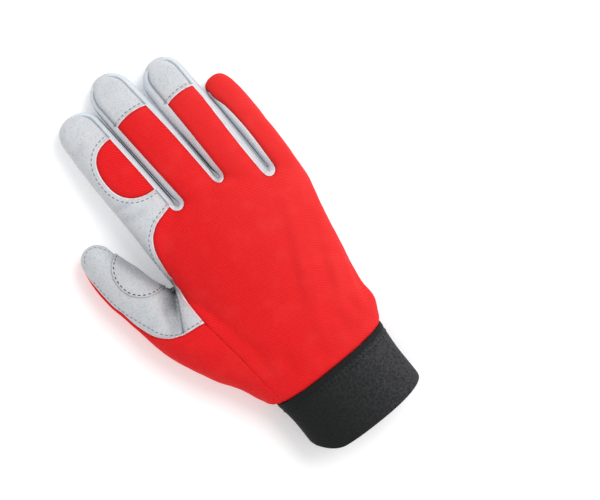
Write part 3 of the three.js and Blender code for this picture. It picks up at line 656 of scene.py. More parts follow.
class GloveForm:
    """The whole skin of the glove, before its seams divide it."""

    voxel = 1.0
    hand_sides = 44
    finger_sides = 20
    extra_slit = 0.7
    least_gap = 0.15
    slit_rounds = 5
    relax_rounds = 7
    web_front = 0.9
    end_round = 3.0
    wall_reach: Ramp = (1.5, 9.0)
    wall_fade = 8.0
    floor_fade = 8.0
    fold_painted_shade = 0.24
    valley_painted_shade = 0.15
    broad_lumps = (0.035, 0.55)
    small_lumps = (0.11, 0.3)

    def hand(self, loft: Loft) -> None:
        """Adds the hand, whose end follows the line of finger roots and is rounded."""
        last = 1.0 + (self.web_front - self.end_round) / SIZES.palm_length
        places = [(along, 1.0, 0.0) for along in np.linspace(HAND_SECTIONS[0].along, last, 46)]
        for degrees in (25, 45, 65, 82):
            angle = math.radians(degrees)
            places.append((last, math.cos(angle), self.end_round * math.sin(angle)))
        loft.add_skin([self.hand_ring(*place) for place in places])

    def hand_ring(self, along: float, scale: float, beyond: float) -> list[Vector]:
        """One ring of the hand.

        Args:
            along: Place as a share of the palm's length.
            scale: Share of the section's height that is kept, for the rounded end.
            beyond: Distance past the place, in millimetres.

        Returns:
            The ring's points.
        """
        row = {name: follow(HAND_SECTIONS, name, along) for name in HandSection.__dataclass_fields__}
        wrist = min(max(row["wrist"], 0.0), 1.0)
        half_wrist = SIZES.wrist_width / 2
        left = wrist * (SIZES.wrist_middle - half_wrist) + (1 - wrist) * row["left"] * SIZES.palm_width
        right = wrist * (SIZES.wrist_middle + half_wrist) + (1 - wrist) * row["right"] * SIZES.palm_width
        low = row["bottom"] * SIZES.palm_thickness - SIZES.rest_press
        bottom = wrist * SIZES.wrist_bottom + (1 - wrist) * low
        top = wrist * SIZES.wrist_top + (1 - wrist) * row["top"] * SIZES.palm_thickness
        widest = wrist * SIZES.wrist_widest + (1 - wrist) * row["widest"] * SIZES.palm_thickness
        ring = Section(
            Vector(((left + right) / 2, 0.0, widest)),
            Vector((0.0, 1.0)),
            (right - left) / 2,
            (top - widest) * scale,
            (widest - bottom) * scale,
            HAND_SQUARENESS,
            self.hand_sides,
        ).ring()
        straight = SIZES.on_palm(0, along)[1]
        for point in ring:
            skewed = web_line(point.x) - SIZES.on_palm(0, 1)[1]
            point.y = straight + row["skew"] * skewed + beyond
        return ring

    def finger(self, loft: Loft, index: int) -> None:
        """Adds one finger stall with a rounded tip."""
        finger = FINGERS[index]
        start = FINGER_SECTIONS[0].along
        tip = FINGER_SECTIONS[-1].along
        root = finger_root(index)
        rings = []
        for along in np.linspace(start, tip, 22)[:-1]:
            rings.append(self.finger_ring(index, root + along * finger.length, 1.0))
        for degrees in TIP_STEPS:
            angle = math.radians(degrees)
            y = root + (tip + (1 - tip) * math.sin(angle)) * finger.length
            rings.append(self.finger_ring(index, y, math.cos(angle) ** finger.bluntness))
        loft.add_skin(rings)

    def finger_ring(self, index: int, y: float, scale: float) -> list[Vector]:
        """One ring of a finger at a place along the glove, shrunk by a scale."""
        finger = FINGERS[index]
        root = finger_root(index)
        tip = FINGER_SECTIONS[-1].along
        along = min((y - root) / finger.length, tip)
        left, right = finger_sides(index, min(y, root + tip * finger.length))
        left += self.extra_slit if index > 0 else 0.0
        right -= self.extra_slit if index < len(SLITS) else 0.0
        thickness = follow(FINGER_SECTIONS, "thickness", along) * finger.thickness
        bottom = follow(FINGER_SECTIONS, "lift", along) * finger.thickness - SIZES.rest_press / 2
        widest = bottom + FINGER_WIDEST * thickness
        return Section(
            Vector(((left + right) / 2 + tip_shift(index, y), y, widest)),
            Vector((0.0, 1.0)),
            follow(FINGER_SECTIONS, "width", along) * (right - left) / 2 * scale,
            (bottom + thickness - widest) * scale,
            (widest - bottom) * scale,
            (FINGER_SQUARENESS, FINGER_SQUARENESS),
            self.finger_sides,
        ).ring()

    def thumb(self, loft: Loft) -> None:
        """Adds the thumb stall."""
        tip = THUMB_SECTIONS[-1].along
        places = [(along, 1.0) for along in np.linspace(THUMB_SECTIONS[0].along, tip, 26)[:-1]]
        for degrees in TIP_STEPS:
            angle = math.radians(degrees)
            places.append((tip + (1 - tip) * math.sin(angle), math.cos(angle)))
        loft.add_skin([self.thumb_ring(*place) for place in places])

    def thumb_ring(self, place: float, scale: float) -> list[Vector]:
        """One ring of the thumb at a share of its length, shrunk by a scale."""
        along = min(place, THUMB_SECTIONS[-1].along)
        middle = thumb_middle(along) + Vector((0.0, (place - along) * SIZES.thumb_length))
        heading = (thumb_middle(along + 0.06) - thumb_middle(along - 0.06)).normalized()
        low = follow(THUMB_SECTIONS, "bottom", along) * SIZES.thumb_thickness
        high = follow(THUMB_SECTIONS, "top", along) * SIZES.thumb_thickness
        bottom = low - SIZES.rest_press / 2
        widest = bottom + FINGER_WIDEST * (high - bottom)
        return Section(
            Vector((middle.x, middle.y, widest)),
            heading,
            follow(THUMB_SECTIONS, "half", along) * SIZES.thumb_width * scale,
            (high - widest) * scale,
            (widest - bottom) * scale,
            (THUMB_SQUARENESS, THUMB_SQUARENESS),
            self.finger_sides,
        ).ring()

    def build(self) -> bmesh.types.BMesh:
        """Joins all stalls into one closed skin, relaxes it and lays its folds.

        Returns:
            The skin in drafting millimetres.
        """
        loft = Loft()
        self.hand(loft)
        for index in range(len(FINGERS)):
            self.finger(loft, index)
        self.thumb(loft)
        skin = fused(loft.finish(), self.voxel)
        relax(skin, skin.verts[:], self.relax_rounds)
        self.close_slits(skin)
        self.smooth_slits(skin)
        self.lay_folds(skin)
        return skin

    def close_slits(self, skin: bmesh.types.BMesh) -> None:
        """Draws the walls beside each slit together, nearly until they meet below."""
        for index, slit in enumerate(SLITS):
            web = SIZES.on_palm(0, slit.web)[1]
            for vertex in skin.verts:
                if vertex.co.y < web:
                    continue
                middle, gap = slit_at(index, vertex.co.y)
                off = vertex.co.x - middle
                if abs(off) > self.wall_reach[1]:
                    continue
                fade = float(smooth_step(vertex.co.y, web, web + self.wall_fade))
                near = 1.0 - float(smooth_step(abs(off), *self.wall_reach))
                side = math.copysign(1.0, off)
                share = slit.bias if side < 0 else 1.0 - slit.bias
                deep = 1.0 - float(smooth_step(vertex.co.z, slit.floor, slit.floor + self.floor_fade))
                meet = max(gap - self.least_gap, 0.0) * share * deep
                vertex.co.x -= side * fade * near * (self.extra_slit + meet)

    def smooth_slits(self, skin: bmesh.types.BMesh) -> None:
        """Relaxes the walls of the slits, which are seen at a flat angle."""
        calm = slit_calm(mesh_arrays(skin)[0])
        walls = [vertex for vertex, keep in zip(skin.verts, calm) if keep < 0.5]
        relax(skin, walls, self.slit_rounds)

    def lay_folds(self, skin: bmesh.types.BMesh) -> None:
        """Moves the skin in and out along its folds, gathers and soft unevenness, and stores painted shade.
        """
        skin.normal_update()
        points, normals = mesh_arrays(skin)
        shift = np.zeros(len(points))
        for fold in BACK_FOLDS + FINGER_FOLDS + THUMB_FOLDS:
            shift += fold_shift(fold, FloorSide.BACK, points, normals)
        for fold in PALM_FOLDS:
            shift += fold_shift(fold, FloorSide.PALM, points, normals)
        shift += gather_shift(points, normals)
        sunk = CROTCH_VALLEY.depth_at(points, normals)
        calm = slit_calm(points)
        # Painted shade: darker in sunk folds, in the crotch valley, at the bottom of the slits and along the
        # shade strokes.
        dark = np.clip(-self.fold_painted_shade * shift, 0, 1) + self.valley_painted_shade * sunk
        dark = np.maximum(dark, slit_painted_shade(points))
        for stroke in SHADES:
            dark = np.maximum(dark, stroke.on(points, normals))
        shade = skin.verts.layers.float.new("shade")
        for i, vertex in enumerate(skin.verts):
            place = vertex.co
            broad = noise.noise(place * self.broad_lumps[0])
            small = noise.noise(place * self.small_lumps[0] + Vector((7.0, 3.0, 5.0)))
            reach = (shift[i] + self.broad_lumps[1] * broad + self.small_lumps[1] * small) * calm[i]
            vertex.co = place + Vector(normals[i]) * float(reach)
            vertex.co.z = max(vertex.co.z - sunk[i], 0.0)
            vertex[shade] = float(min(dark[i], 1.0))
        skin.normal_update()


def relax(skin: bmesh.types.BMesh, verts: Sequence[bmesh.types.BMVert], rounds: int) -> None:
    """Smooths some vertices of the skin a number of times."""
    axes = {"use_axis_x": True, "use_axis_y": True, "use_axis_z": True}
    for _ in range(rounds):
        bmesh.ops.smooth_vert(skin, verts=verts, factor=0.5, **axes)


def past_webs(points: np.ndarray) -> Iterator[tuple[Slit, float, np.ndarray, np.ndarray]]:
    """Each slit, its web's place, and how far the points lie past the web and beside it."""
    for index, slit in enumerate(SLITS):
        web = SIZES.on_palm(0, slit.web)[1]
        beyond = np.maximum(points[:, 1] - web, 0.0)
        yield slit, web, beyond, np.abs(points[:, 0] - slit_root(index) - slit.lean * beyond)


def slit_painted_shade(points: np.ndarray) -> np.ndarray:
    """Depth of painted shade along the bottom of each slit, from 0 to 1."""
    tone = np.zeros(len(points))
    for slit, web, beyond, off in past_webs(points):
        amount = slit.shade_depths[0] + (slit.shade_depths[1] - slit.shade_depths[0]) * smooth_step(beyond, *SLIT_SHADE_CHANGE)
        ends = smooth_step(points[:, 1], web - 1.0, web + 2.5)
        tone = np.maximum(tone, amount * ends * (1 - smooth_step(off, *SLIT_SHADE_EDGE)))
    return tone


def slit_calm(points: np.ndarray) -> np.ndarray:
    """Share of every unevenness that is kept, which is none in the slits."""
    calm = np.ones(len(points))
    for _, web, _, off in past_webs(points):
        inside = smooth_step(points[:, 1], web - 5.0, web)
        calm = np.minimum(calm, 1 - inside * (1 - smooth_step(off, *CALM_EDGE)))
    return calm


def mesh_arrays(bm: bmesh.types.BMesh) -> tuple[np.ndarray, np.ndarray]:
    """Places and normals of a mesh's vertices as arrays of three columns."""
    points = np.array([vertex.co for vertex in bm.verts])
    normals = np.array([vertex.normal for vertex in bm.verts])
    return points, normals


def fold_shift(fold: Fold, side: FloorSide, points: np.ndarray, normals: np.ndarray) -> np.ndarray:
    """How far one fold on a side moves each vertex along its normal."""
    start, end = np.array(fold.start, float), np.array(fold.end, float)
    line = end - start
    length = float(np.linalg.norm(line))
    along = ((points[:, :2] - start) @ line) / length
    across = np.abs((points[:, 0] - start[0]) * line[1] - (points[:, 1] - start[1]) * line[0]) / length
    fade = smooth_step(along, -0.15 * length, 0.3 * length)
    fade = fade * (1 - smooth_step(along, 0.7 * length, 1.15 * length))
    facing = smooth_step(normals[:, 2] * side.value, 0.0, 0.5)
    return fold.height * np.exp(-((across / fold.width) ** 2)) * fade * facing


def gather_shift(points: np.ndarray, normals: np.ndarray) -> np.ndarray:
    """How far the puckers at the cuff move each vertex of the palm inwards."""
    across = (points[:, 0] - SIZES.wrist_middle) / SIZES.wrist_width + 0.5
    along = (points[:, 1] - SIZES.cuff_height) / SIZES.palm_length
    facing = smooth_step(-normals[:, 2], 0.1, 0.6)
    shift = np.zeros(len(points))
    for gather in GATHERS:
        fade = np.clip(1 - np.maximum(along, 0) / gather.reach, 0, 1)
        near = np.exp(-(((across - gather.across) / GATHER_WIDTH) ** 2))
        shift -= gather.depth * fade * near * facing
    return shift


def fused(bm: bmesh.types.BMesh, voxel: float) -> bmesh.types.BMesh:
    """Fuses overlapping closed bodies into one even mesh.

    Args:
        bm: Bodies that overlap; it is freed.
        voxel: Size of the new faces, in millimetres.

    Returns:
        The fused mesh.
    """
    mesh = bpy.data.meshes.new("fusing")
    bm.to_mesh(mesh)
    bm.free()
    body = bpy.data.objects.new("fusing", mesh)
    bpy.context.scene.collection.objects.link(body)
    remesh = body.modifiers.new("fuse", "REMESH")
    remesh.mode = "VOXEL"
    remesh.voxel_size = voxel
    fine = bmesh.new()
    depsgraph = bpy.context.evaluated_depsgraph_get()
    fine.from_mesh(body.evaluated_get(depsgraph).to_mesh())
    bpy.data.objects.remove(body)
    bpy.data.meshes.remove(mesh)
    return fine


def plan_distance(points: np.ndarray, outline: Sequence[tuple[float, float]]) -> np.ndarray:
    """Signed distance in the plan from an outline, negative inside it."""
    place = points[:, :2]
    corners = np.array(outline, float)
    nearest = np.full(len(place), np.inf)
    inside = np.zeros(len(place), bool)
    for a, b in zip(corners, np.roll(corners, -1, axis=0)):
        edge = b - a
        share = np.clip(((place - a) @ edge) / max(edge @ edge, 1e-12), 0, 1)
        nearest = np.minimum(nearest, np.linalg.norm(place - (a + share[:, None] * edge), axis=1))
        crosses = (a[1] > place[:, 1]) != (b[1] > place[:, 1])
        if a[1] != b[1]:
            at = a[0] + (place[:, 1] - a[1]) * edge[0] / (b[1] - a[1])
            inside ^= crosses & (place[:, 0] < at)
    return np.where(inside, -nearest, nearest)


@dataclass(frozen=True)
class Prism:
    """Upright prism over a plan outline, between two heights."""

    outline: Outline
    low: float = -FAR
    high: float = FAR
    ceiling: Outline = ((0.0, FAR),)

    def distance(self, points: np.ndarray) -> np.ndarray:
        """Signed distance of each point, negative inside.

        Args:
            points: Places as rows of x, y and z.

        Returns:
            The distances; the ceiling limits the height by the place along the glove.
        """
        z = points[:, 2]
        roof = np.interp(points[:, 1], *zip(*self.ceiling))
        sides = plan_distance(points, self.outline)
        return np.maximum.reduce([sides, self.low - z, z - self.high, z - roof])


@dataclass(frozen=True)
class Region:
    """Part of the skin that one panel covers, as joined prisms."""

    prisms: tuple[Prism, ...]

    def distance(self, points: np.ndarray) -> np.ndarray:
        """Signed distance of each point, negative inside."""
        return np.minimum.reduce([prism.distance(points) for prism in self.prisms])


class Seams:
    """Plan lines of the seams, from the same shares as the solids."""

    outside_left = -0.7
    notch_tip = (0.01, 0.515)
    notch_foot = (-0.125, 0.53)
    thumb_crotch = (-0.012, 0.73)
    thumb_seam_foot = (0.085, -0.2)
    window_middle = 0.443
    window_half_length = 0.243
    window_depth = 0.645
    window_squareness = (0.9, 0.72)
    outside_right = 1.4
    tip_inset = 2.0
    cap_lengths = {1: 28.8, 2: 25.0}
    cap_bow = 0.09
    palm_cap_level = 8.0
    palm_cap_inset = 3.6
    palm_cap_foot = 15.0
    palm_cap_rise = 10.5
    palm_cap_turn: Ramp = (0.12, 0.88)
    back_floor = 0.18
    back_split = 0.5
    little_rim_end = 0.7
    patch_floor = 0.3
    thumb_side_top = 0.64
    seam_ends = (0.95, 0.88, 0.84, 0.5)
    sliver = (
        (112.0, FAR),
        (118.0, 30.0),
        (128.0, 21.5),
        (140.0, 18.5),
        (158.0, 16.0),
        (168.0, 12.0),
        (178.0, 8.0),
    )
    web_rise = 2.2
    web_edge = 1.5
    thumb_tip_shift = 0.18
    thumb_line = (
        notch_foot,
        (-0.205, 0.56),
        (-0.27, 0.62),
        (-0.309, 0.715),
        (-0.328, 0.836),
        (-0.348, 1.0),
        (-0.37, 1.1),
    )
    thumb_stitches = (
        (-0.118, 0.542),
        (-0.155, 0.552),
        (-0.222, 0.605),
        (-0.283, 0.73),
        (-0.31, 0.8),
        (-0.324, 0.87),
        (-0.332, 0.95),
        (-0.334, 1.02),
    )
    thumb_tip_stitches = (
        (-0.307, 1.09),
        (-0.28, 1.119),
        (-0.2415, 1.131),
        (-0.198, 1.115),
        (-0.174, 1.086),
        (-0.15, 1.045),
    )
    patch_edge = (
        (-0.12, 1.06),
        (-0.16, 1.03),
        (-0.205, 0.995),
        (-0.235, 0.935),
        (-0.228, 0.855),
        (-0.18, 0.797),
        (-0.11, 0.768),
        (-0.02, 0.765),
    )
    knuckles = (
        (0.01, 0.6),
        (0.01, 0.754),
        (0.019, 0.836),
        (0.039, 0.918),
        (0.077, 0.975),
        (0.12, 1.005),
        (0.164, 1.0246),
        (0.28, 1.049),
    )
    grey_under_thumb = ((-0.24, 0.42), (-0.19, 0.44), (-0.1, 0.63), thumb_crotch)
    red_beside_thumb = ((-0.24, 0.5), (-0.25, 0.8), (-0.26, 1.06))
    red_under_thumb = (
        (0.18, -0.2),
        (0.18, 0.02),
        (-0.02, 0.18),
        (-0.12, 0.31),
        (-0.21, 0.47),
        (-0.25, 0.7),
        (-0.28, 0.84),
        (-0.28, 1.06),
    )

    def points(self, shares: Iterable[tuple[float, float]]) -> Outline:
        """Plan points from shares of the palm."""
        return tuple(SIZES.on_palm(*share) for share in shares)

    def rounded(self, shares: Iterable[tuple[float, float]]) -> Outline:
        """Rounded plan line through shares of the palm."""
        return smooth_line(self.points(shares))

    def side_seam(self, index: int, side: int, start: float) -> Outline:
        """Line beside one side of a finger and around its tip to the middle.

        Args:
            index: Finger's number.
            side: -1 for the finger's left side and 1 for its right.
            start: Place along the glove where the line starts.

        Returns:
            Plan points from the root outwards.
        """
        finger = FINGERS[index]
        root = finger_root(index)
        tip_start = root + FINGER_SECTIONS[-1].along * finger.length
        reach = root + finger.length - tip_start - self.tip_inset
        places = [(y, 1.0) for y in np.linspace(start, tip_start, 8)]
        for degrees in TIP_STEPS[1:]:
            angle = math.radians(degrees)
            places.append((tip_start + reach * math.sin(angle), math.cos(angle) ** finger.bluntness))
        places.append((tip_start + reach, 0.0))
        line = []
        for y, scale in places:
            level = min(y, tip_start)
            left, right = finger_sides(index, level)
            row = slit_row(index if side > 0 else index - 1, level)
            inset = row.left if side > 0 else row.right
            half = ((right - left) / 2 - inset) * scale
            line.append(((left + right) / 2 + tip_shift(index, y) + side * half, y))
        return tuple(line)

    def fourchette(self, index: int) -> Region:
        """Side walls of two neighbouring fingers with the web between them."""
        web = SIZES.on_palm(0, SLITS[index].web)[1]
        start = web + self.web_rise
        x, gap = slit_at(index, start)
        row = slit_row(index, start)
        turn = []
        for degrees in range(-15, -180, -15):
            angle = math.radians(degrees)
            side = row.right if degrees < -90 else row.left
            across = (side + gap / 2) * math.cos(angle)
            turn.append((x - across, start + (self.web_rise + self.web_edge) * math.sin(angle)))
        left = self.side_seam(index, 1, start)
        right = self.side_seam(index + 1, -1, start)
        middle = slit_at(index, left[-1][1])[0]
        first = (*left, (left[-1][0], FAR), (middle, FAR), (x, start), *reversed(turn))
        second = (*right, (right[-1][0], FAR), (middle, FAR), (x, start), *turn)
        return Region(
            (
                Prism(first, ceiling=self.tip_ceiling(index)),
                Prism(second, ceiling=self.tip_ceiling(index + 1)),
            )
        )

    def tip_front(self, index: int) -> float:
        """Height of a fingertip's widest place."""
        return FINGER_WIDEST * FINGER_SECTIONS[-1].thickness * FINGERS[index].thickness

    def tip_ceiling(self, index: int) -> Outline:
        """Heights that lead a side seam down over the front of a fingertip."""
        finger = FINGERS[index]
        tip_start = finger_root(index) + FINGER_SECTIONS[-1].along * finger.length
        reach = (1 - FINGER_SECTIONS[-1].along) * finger.length
        end = tip_start + self.seam_ends[index] * reach
        front = self.tip_front(index)
        return (
            (end - 0.25 * reach, FAR),
            (end - 0.2 * reach, finger.thickness),
            (end, front),
            (FAR, front),
        )

    def palm_cap_line(self, index: int) -> Outline:
        """Stitched arc inside a fingertip, on the palm side."""
        finger = FINGERS[index]
        end = finger_root(index) + finger.length
        left, right = finger_sides(index, end - self.palm_cap_level)
        middle, half = (left + right) / 2, (right - left) / 2 - self.palm_cap_inset
        foot = end - self.palm_cap_foot
        angles = np.linspace(*self.palm_cap_turn, 15) * math.pi
        return tuple((middle - half * math.cos(a), foot + self.palm_cap_rise * math.sin(a)) for a in angles)

    def cap_line(self, index: int, reach: float = 1.0) -> Outline:
        """Bowed seam of a leather fingertip, from left to right, up to a share of it."""
        finger = FINGERS[index]
        seam = finger_root(index) + finger.length - self.cap_lengths[index]
        left, right = finger_sides(index, seam)
        bow = self.cap_bow * finger.width
        shares = np.linspace(-reach, reach, 9)
        middle, half = (left + right) / 2, (right - left) / 2
        return tuple((middle + half * s, seam - bow * s * s) for s in shares)

    def tip_cap(self, index: int) -> Region:
        """Leather fingertip on the back of a finger."""
        line = self.cap_line(index)
        outline = (*line, (line[-1][0], FAR), (line[0][0], FAR))
        return Region((Prism(outline, self.tip_front(index)),))

    def window_line(self, grow: float = 0.0) -> Outline:
        """Half oval edge of the forefinger's window, grown by a distance."""
        finger = FINGERS[0]
        middle = finger_root(0) + self.window_middle * finger.length
        _, right = finger_sides(0, middle)
        edge = right - SIZES.seam_inset
        line = []
        for angle in np.linspace(-math.pi / 2, math.pi / 2, 25):
            c, s = math.cos(angle), math.sin(angle)
            reach = self.window_depth * finger.width + grow
            half = self.window_half_length * finger.length + grow
            below, above = self.window_squareness
            across = reach * c ** (above if s > 0 else below)
            line.append((edge - across, middle + math.copysign(half * abs(s) ** below, s)))
        return tuple(line)

    def window(self) -> Region:
        """Knitted window on the back of the forefinger."""
        line = self.window_line()
        right = line[0][0] + SIZES.seam_inset
        low = FINGER_WIDEST * FINGERS[0].thickness
        return Region((Prism((*line, (right, line[-1][1]), (right, line[0][1])), low),))

    def thumb_seam(self) -> Outline:
        """Seam between the grey front and the red strip, on the thumb's upper side."""
        return self.rounded(self.thumb_line)

    def patch_line(self) -> Outline:
        """Edge of the patch on the side of the thumb that faces the forefinger."""
        return self.rounded(self.patch_edge)

    def patch(self) -> Region:
        """Patch on the thumb, whose straight side lies in the thumb's inner side."""
        line = self.patch_line()
        right = SIZES.on_palm(0.1, 0)[0]
        outline = (*line, (right, line[-1][1]), (right, line[0][1]))
        return Region((Prism(outline, self.patch_floor * SIZES.thumb_thickness),))

    def thumb_back(self) -> Region:
        """Red strip along the thumb's outer side, which widens to the wrist."""
        outside = self.outside_left * SIZES.palm_width
        tip = thumb_middle(1.0)
        tip_x = tip.x - self.thumb_tip_shift * SIZES.thumb_width
        tip_end = ((tip_x, tip.y), (tip_x, tip.y + FAR), (outside, tip.y + FAR))
        foot = SIZES.on_palm(*self.thumb_seam_foot)
        seam = self.thumb_seam()
        over = (
            foot,
            *self.points(((0.04, 0.3), self.notch_tip)),
            *seam,
            (outside, seam[-1][1]),
            (outside, foot[1]),
        )
        beside = (*self.points(self.red_beside_thumb), *tip_end, (outside, 90.0))
        under = (*self.points(self.red_under_thumb), *tip_end, (outside, foot[1]))
        return Region(
            (
                Prism(over, THUMB_SPLIT, ceiling=self.sliver),
                Prism(beside, THUMB_SPLIT, self.thumb_side_top * SIZES.thumb_thickness, self.sliver),
                Prism(under, -FAR, THUMB_SPLIT, self.sliver),
            )
        )

    def thumb_front(self) -> Region:
        """Grey front of the thumb."""
        outside = self.outside_left * SIZES.palm_width
        crotch = SIZES.on_palm(*self.thumb_crotch)
        beyond = ((crotch[0], crotch[1] + FAR), (outside, crotch[1] + FAR))
        foot = SIZES.on_palm(*self.notch_foot)
        over = (*beyond, (outside, foot[1]), foot, *self.points(((-0.03, 0.68), self.thumb_crotch)))
        inner = self.points(self.grey_under_thumb)
        under = (*beyond, (outside, inner[0][1]), *inner)
        return Region((Prism(over, THUMB_SPLIT), Prism(under, -FAR, THUMB_SPLIT)))

    def knuckle_arc(self) -> Outline:
        """Red back's upper left edge, from beside the thumb to the first slit."""
        return self.rounded(self.knuckles)

    def back(self) -> Region:
        """Red back of the hand with the middle, ring and little finger."""
        root = finger_root(0)
        tip_end = root + FINGERS[1].length
        slit_end = slit_at(0, tip_end)[0]
        right_of_slit = ((slit_end, tip_end), (slit_end, FAR))
        wide = self.outside_right * SIZES.palm_width
        foot = SIZES.on_palm(*self.thumb_seam_foot)
        outside = ((wide, FAR), (wide, foot[1]))
        over = (
            foot,
            *self.points(((0.04, 0.3), self.notch_tip)),
            *self.knuckle_arc(),
            (slit_at(0, root)[0], root + 2.0 * SIZES.seam_inset),
            *right_of_slit,
            *outside,
        )
        inner_slit = ((slit_at(0, root)[0] + 1.5, root), *((x + 1.5, y) for x, y in right_of_slit))
        inner = (*self.points(((0.3, -0.2), (0.3, 0.9))), *inner_slit, *outside)
        rim = []
        for along in (-0.2, 0.4, 0.8):
            right = follow(HAND_SECTIONS, "right", along) * SIZES.palm_width
            rim.append((right - SIZES.back_wrap, SIZES.on_palm(0, along)[1]))
        little = FINGERS[3]
        middle = SIZES.palm_width - little.width / 2
        tip = finger_root(3) + self.little_rim_end * little.length
        rim += [(middle, SIZES.on_palm(0, 0.9)[1]), (middle, tip), (slit_root(2), tip), (slit_root(2), FAR)]
        return Region(
            (
                Prism(over, self.back_split * SIZES.palm_thickness),
                Prism(inner, FINGER_SPLIT),
                Prism((*rim, *outside), self.back_floor * SIZES.palm_thickness),
            )
        )


class Cloth(Enum):
    """Kind of cloth that a panel is cut from."""

    KNIT = "knit"
    LEATHER = "leather"


@dataclass(frozen=True)
class Panel:
    """One sewn panel: its node's name, its cloth and the part of the skin it covers."""

    name: str
    cloth: Cloth
    region: Region | None


def panel_list() -> tuple[Panel, ...]:
    """All panels of the hand in the order in which the seams cut them."""
    seams = Seams()
    return (
        Panel("fourchette_index_middle", Cloth.LEATHER, seams.fourchette(0)),
        Panel("fourchette_middle_ring", Cloth.LEATHER, seams.fourchette(1)),
        Panel("fourchette_ring_little", Cloth.LEATHER, seams.fourchette(2)),
        Panel("middle_tip_cap", Cloth.LEATHER, seams.tip_cap(1)),
        Panel("ring_tip_cap", Cloth.LEATHER, seams.tip_cap(2)),
        Panel("index_window", Cloth.KNIT, seams.window()),
        Panel("thumb_back", Cloth.KNIT, seams.thumb_back()),
        Panel("thumb_front", Cloth.LEATHER, seams.thumb_front()),
        Panel("back_panel", Cloth.KNIT, seams.back()),
        Panel("palm_panel", Cloth.LEATHER, None),
    )


def cuff_edge(z: np.ndarray, along: float, under: float, over: float) -> np.ndarray:
    """Place along the glove of a sloping edge around the wrist, at given heights."""
    heights = [SIZES.wrist_bottom, SIZES.wrist_widest, SIZES.wrist_top]
    return along + np.interp(z, heights, [under, 0.0, over])


def cuff_seam_distance(points: np.ndarray) -> np.ndarray:
    """Distance past the cuff's upper edge, negative on the cuff's side."""
    edge = cuff_edge(points[:, 2], SIZES.cuff_height, SIZES.cuff_seam_rise, -SIZES.cuff_seam_drop)
    return points[:, 1] - edge


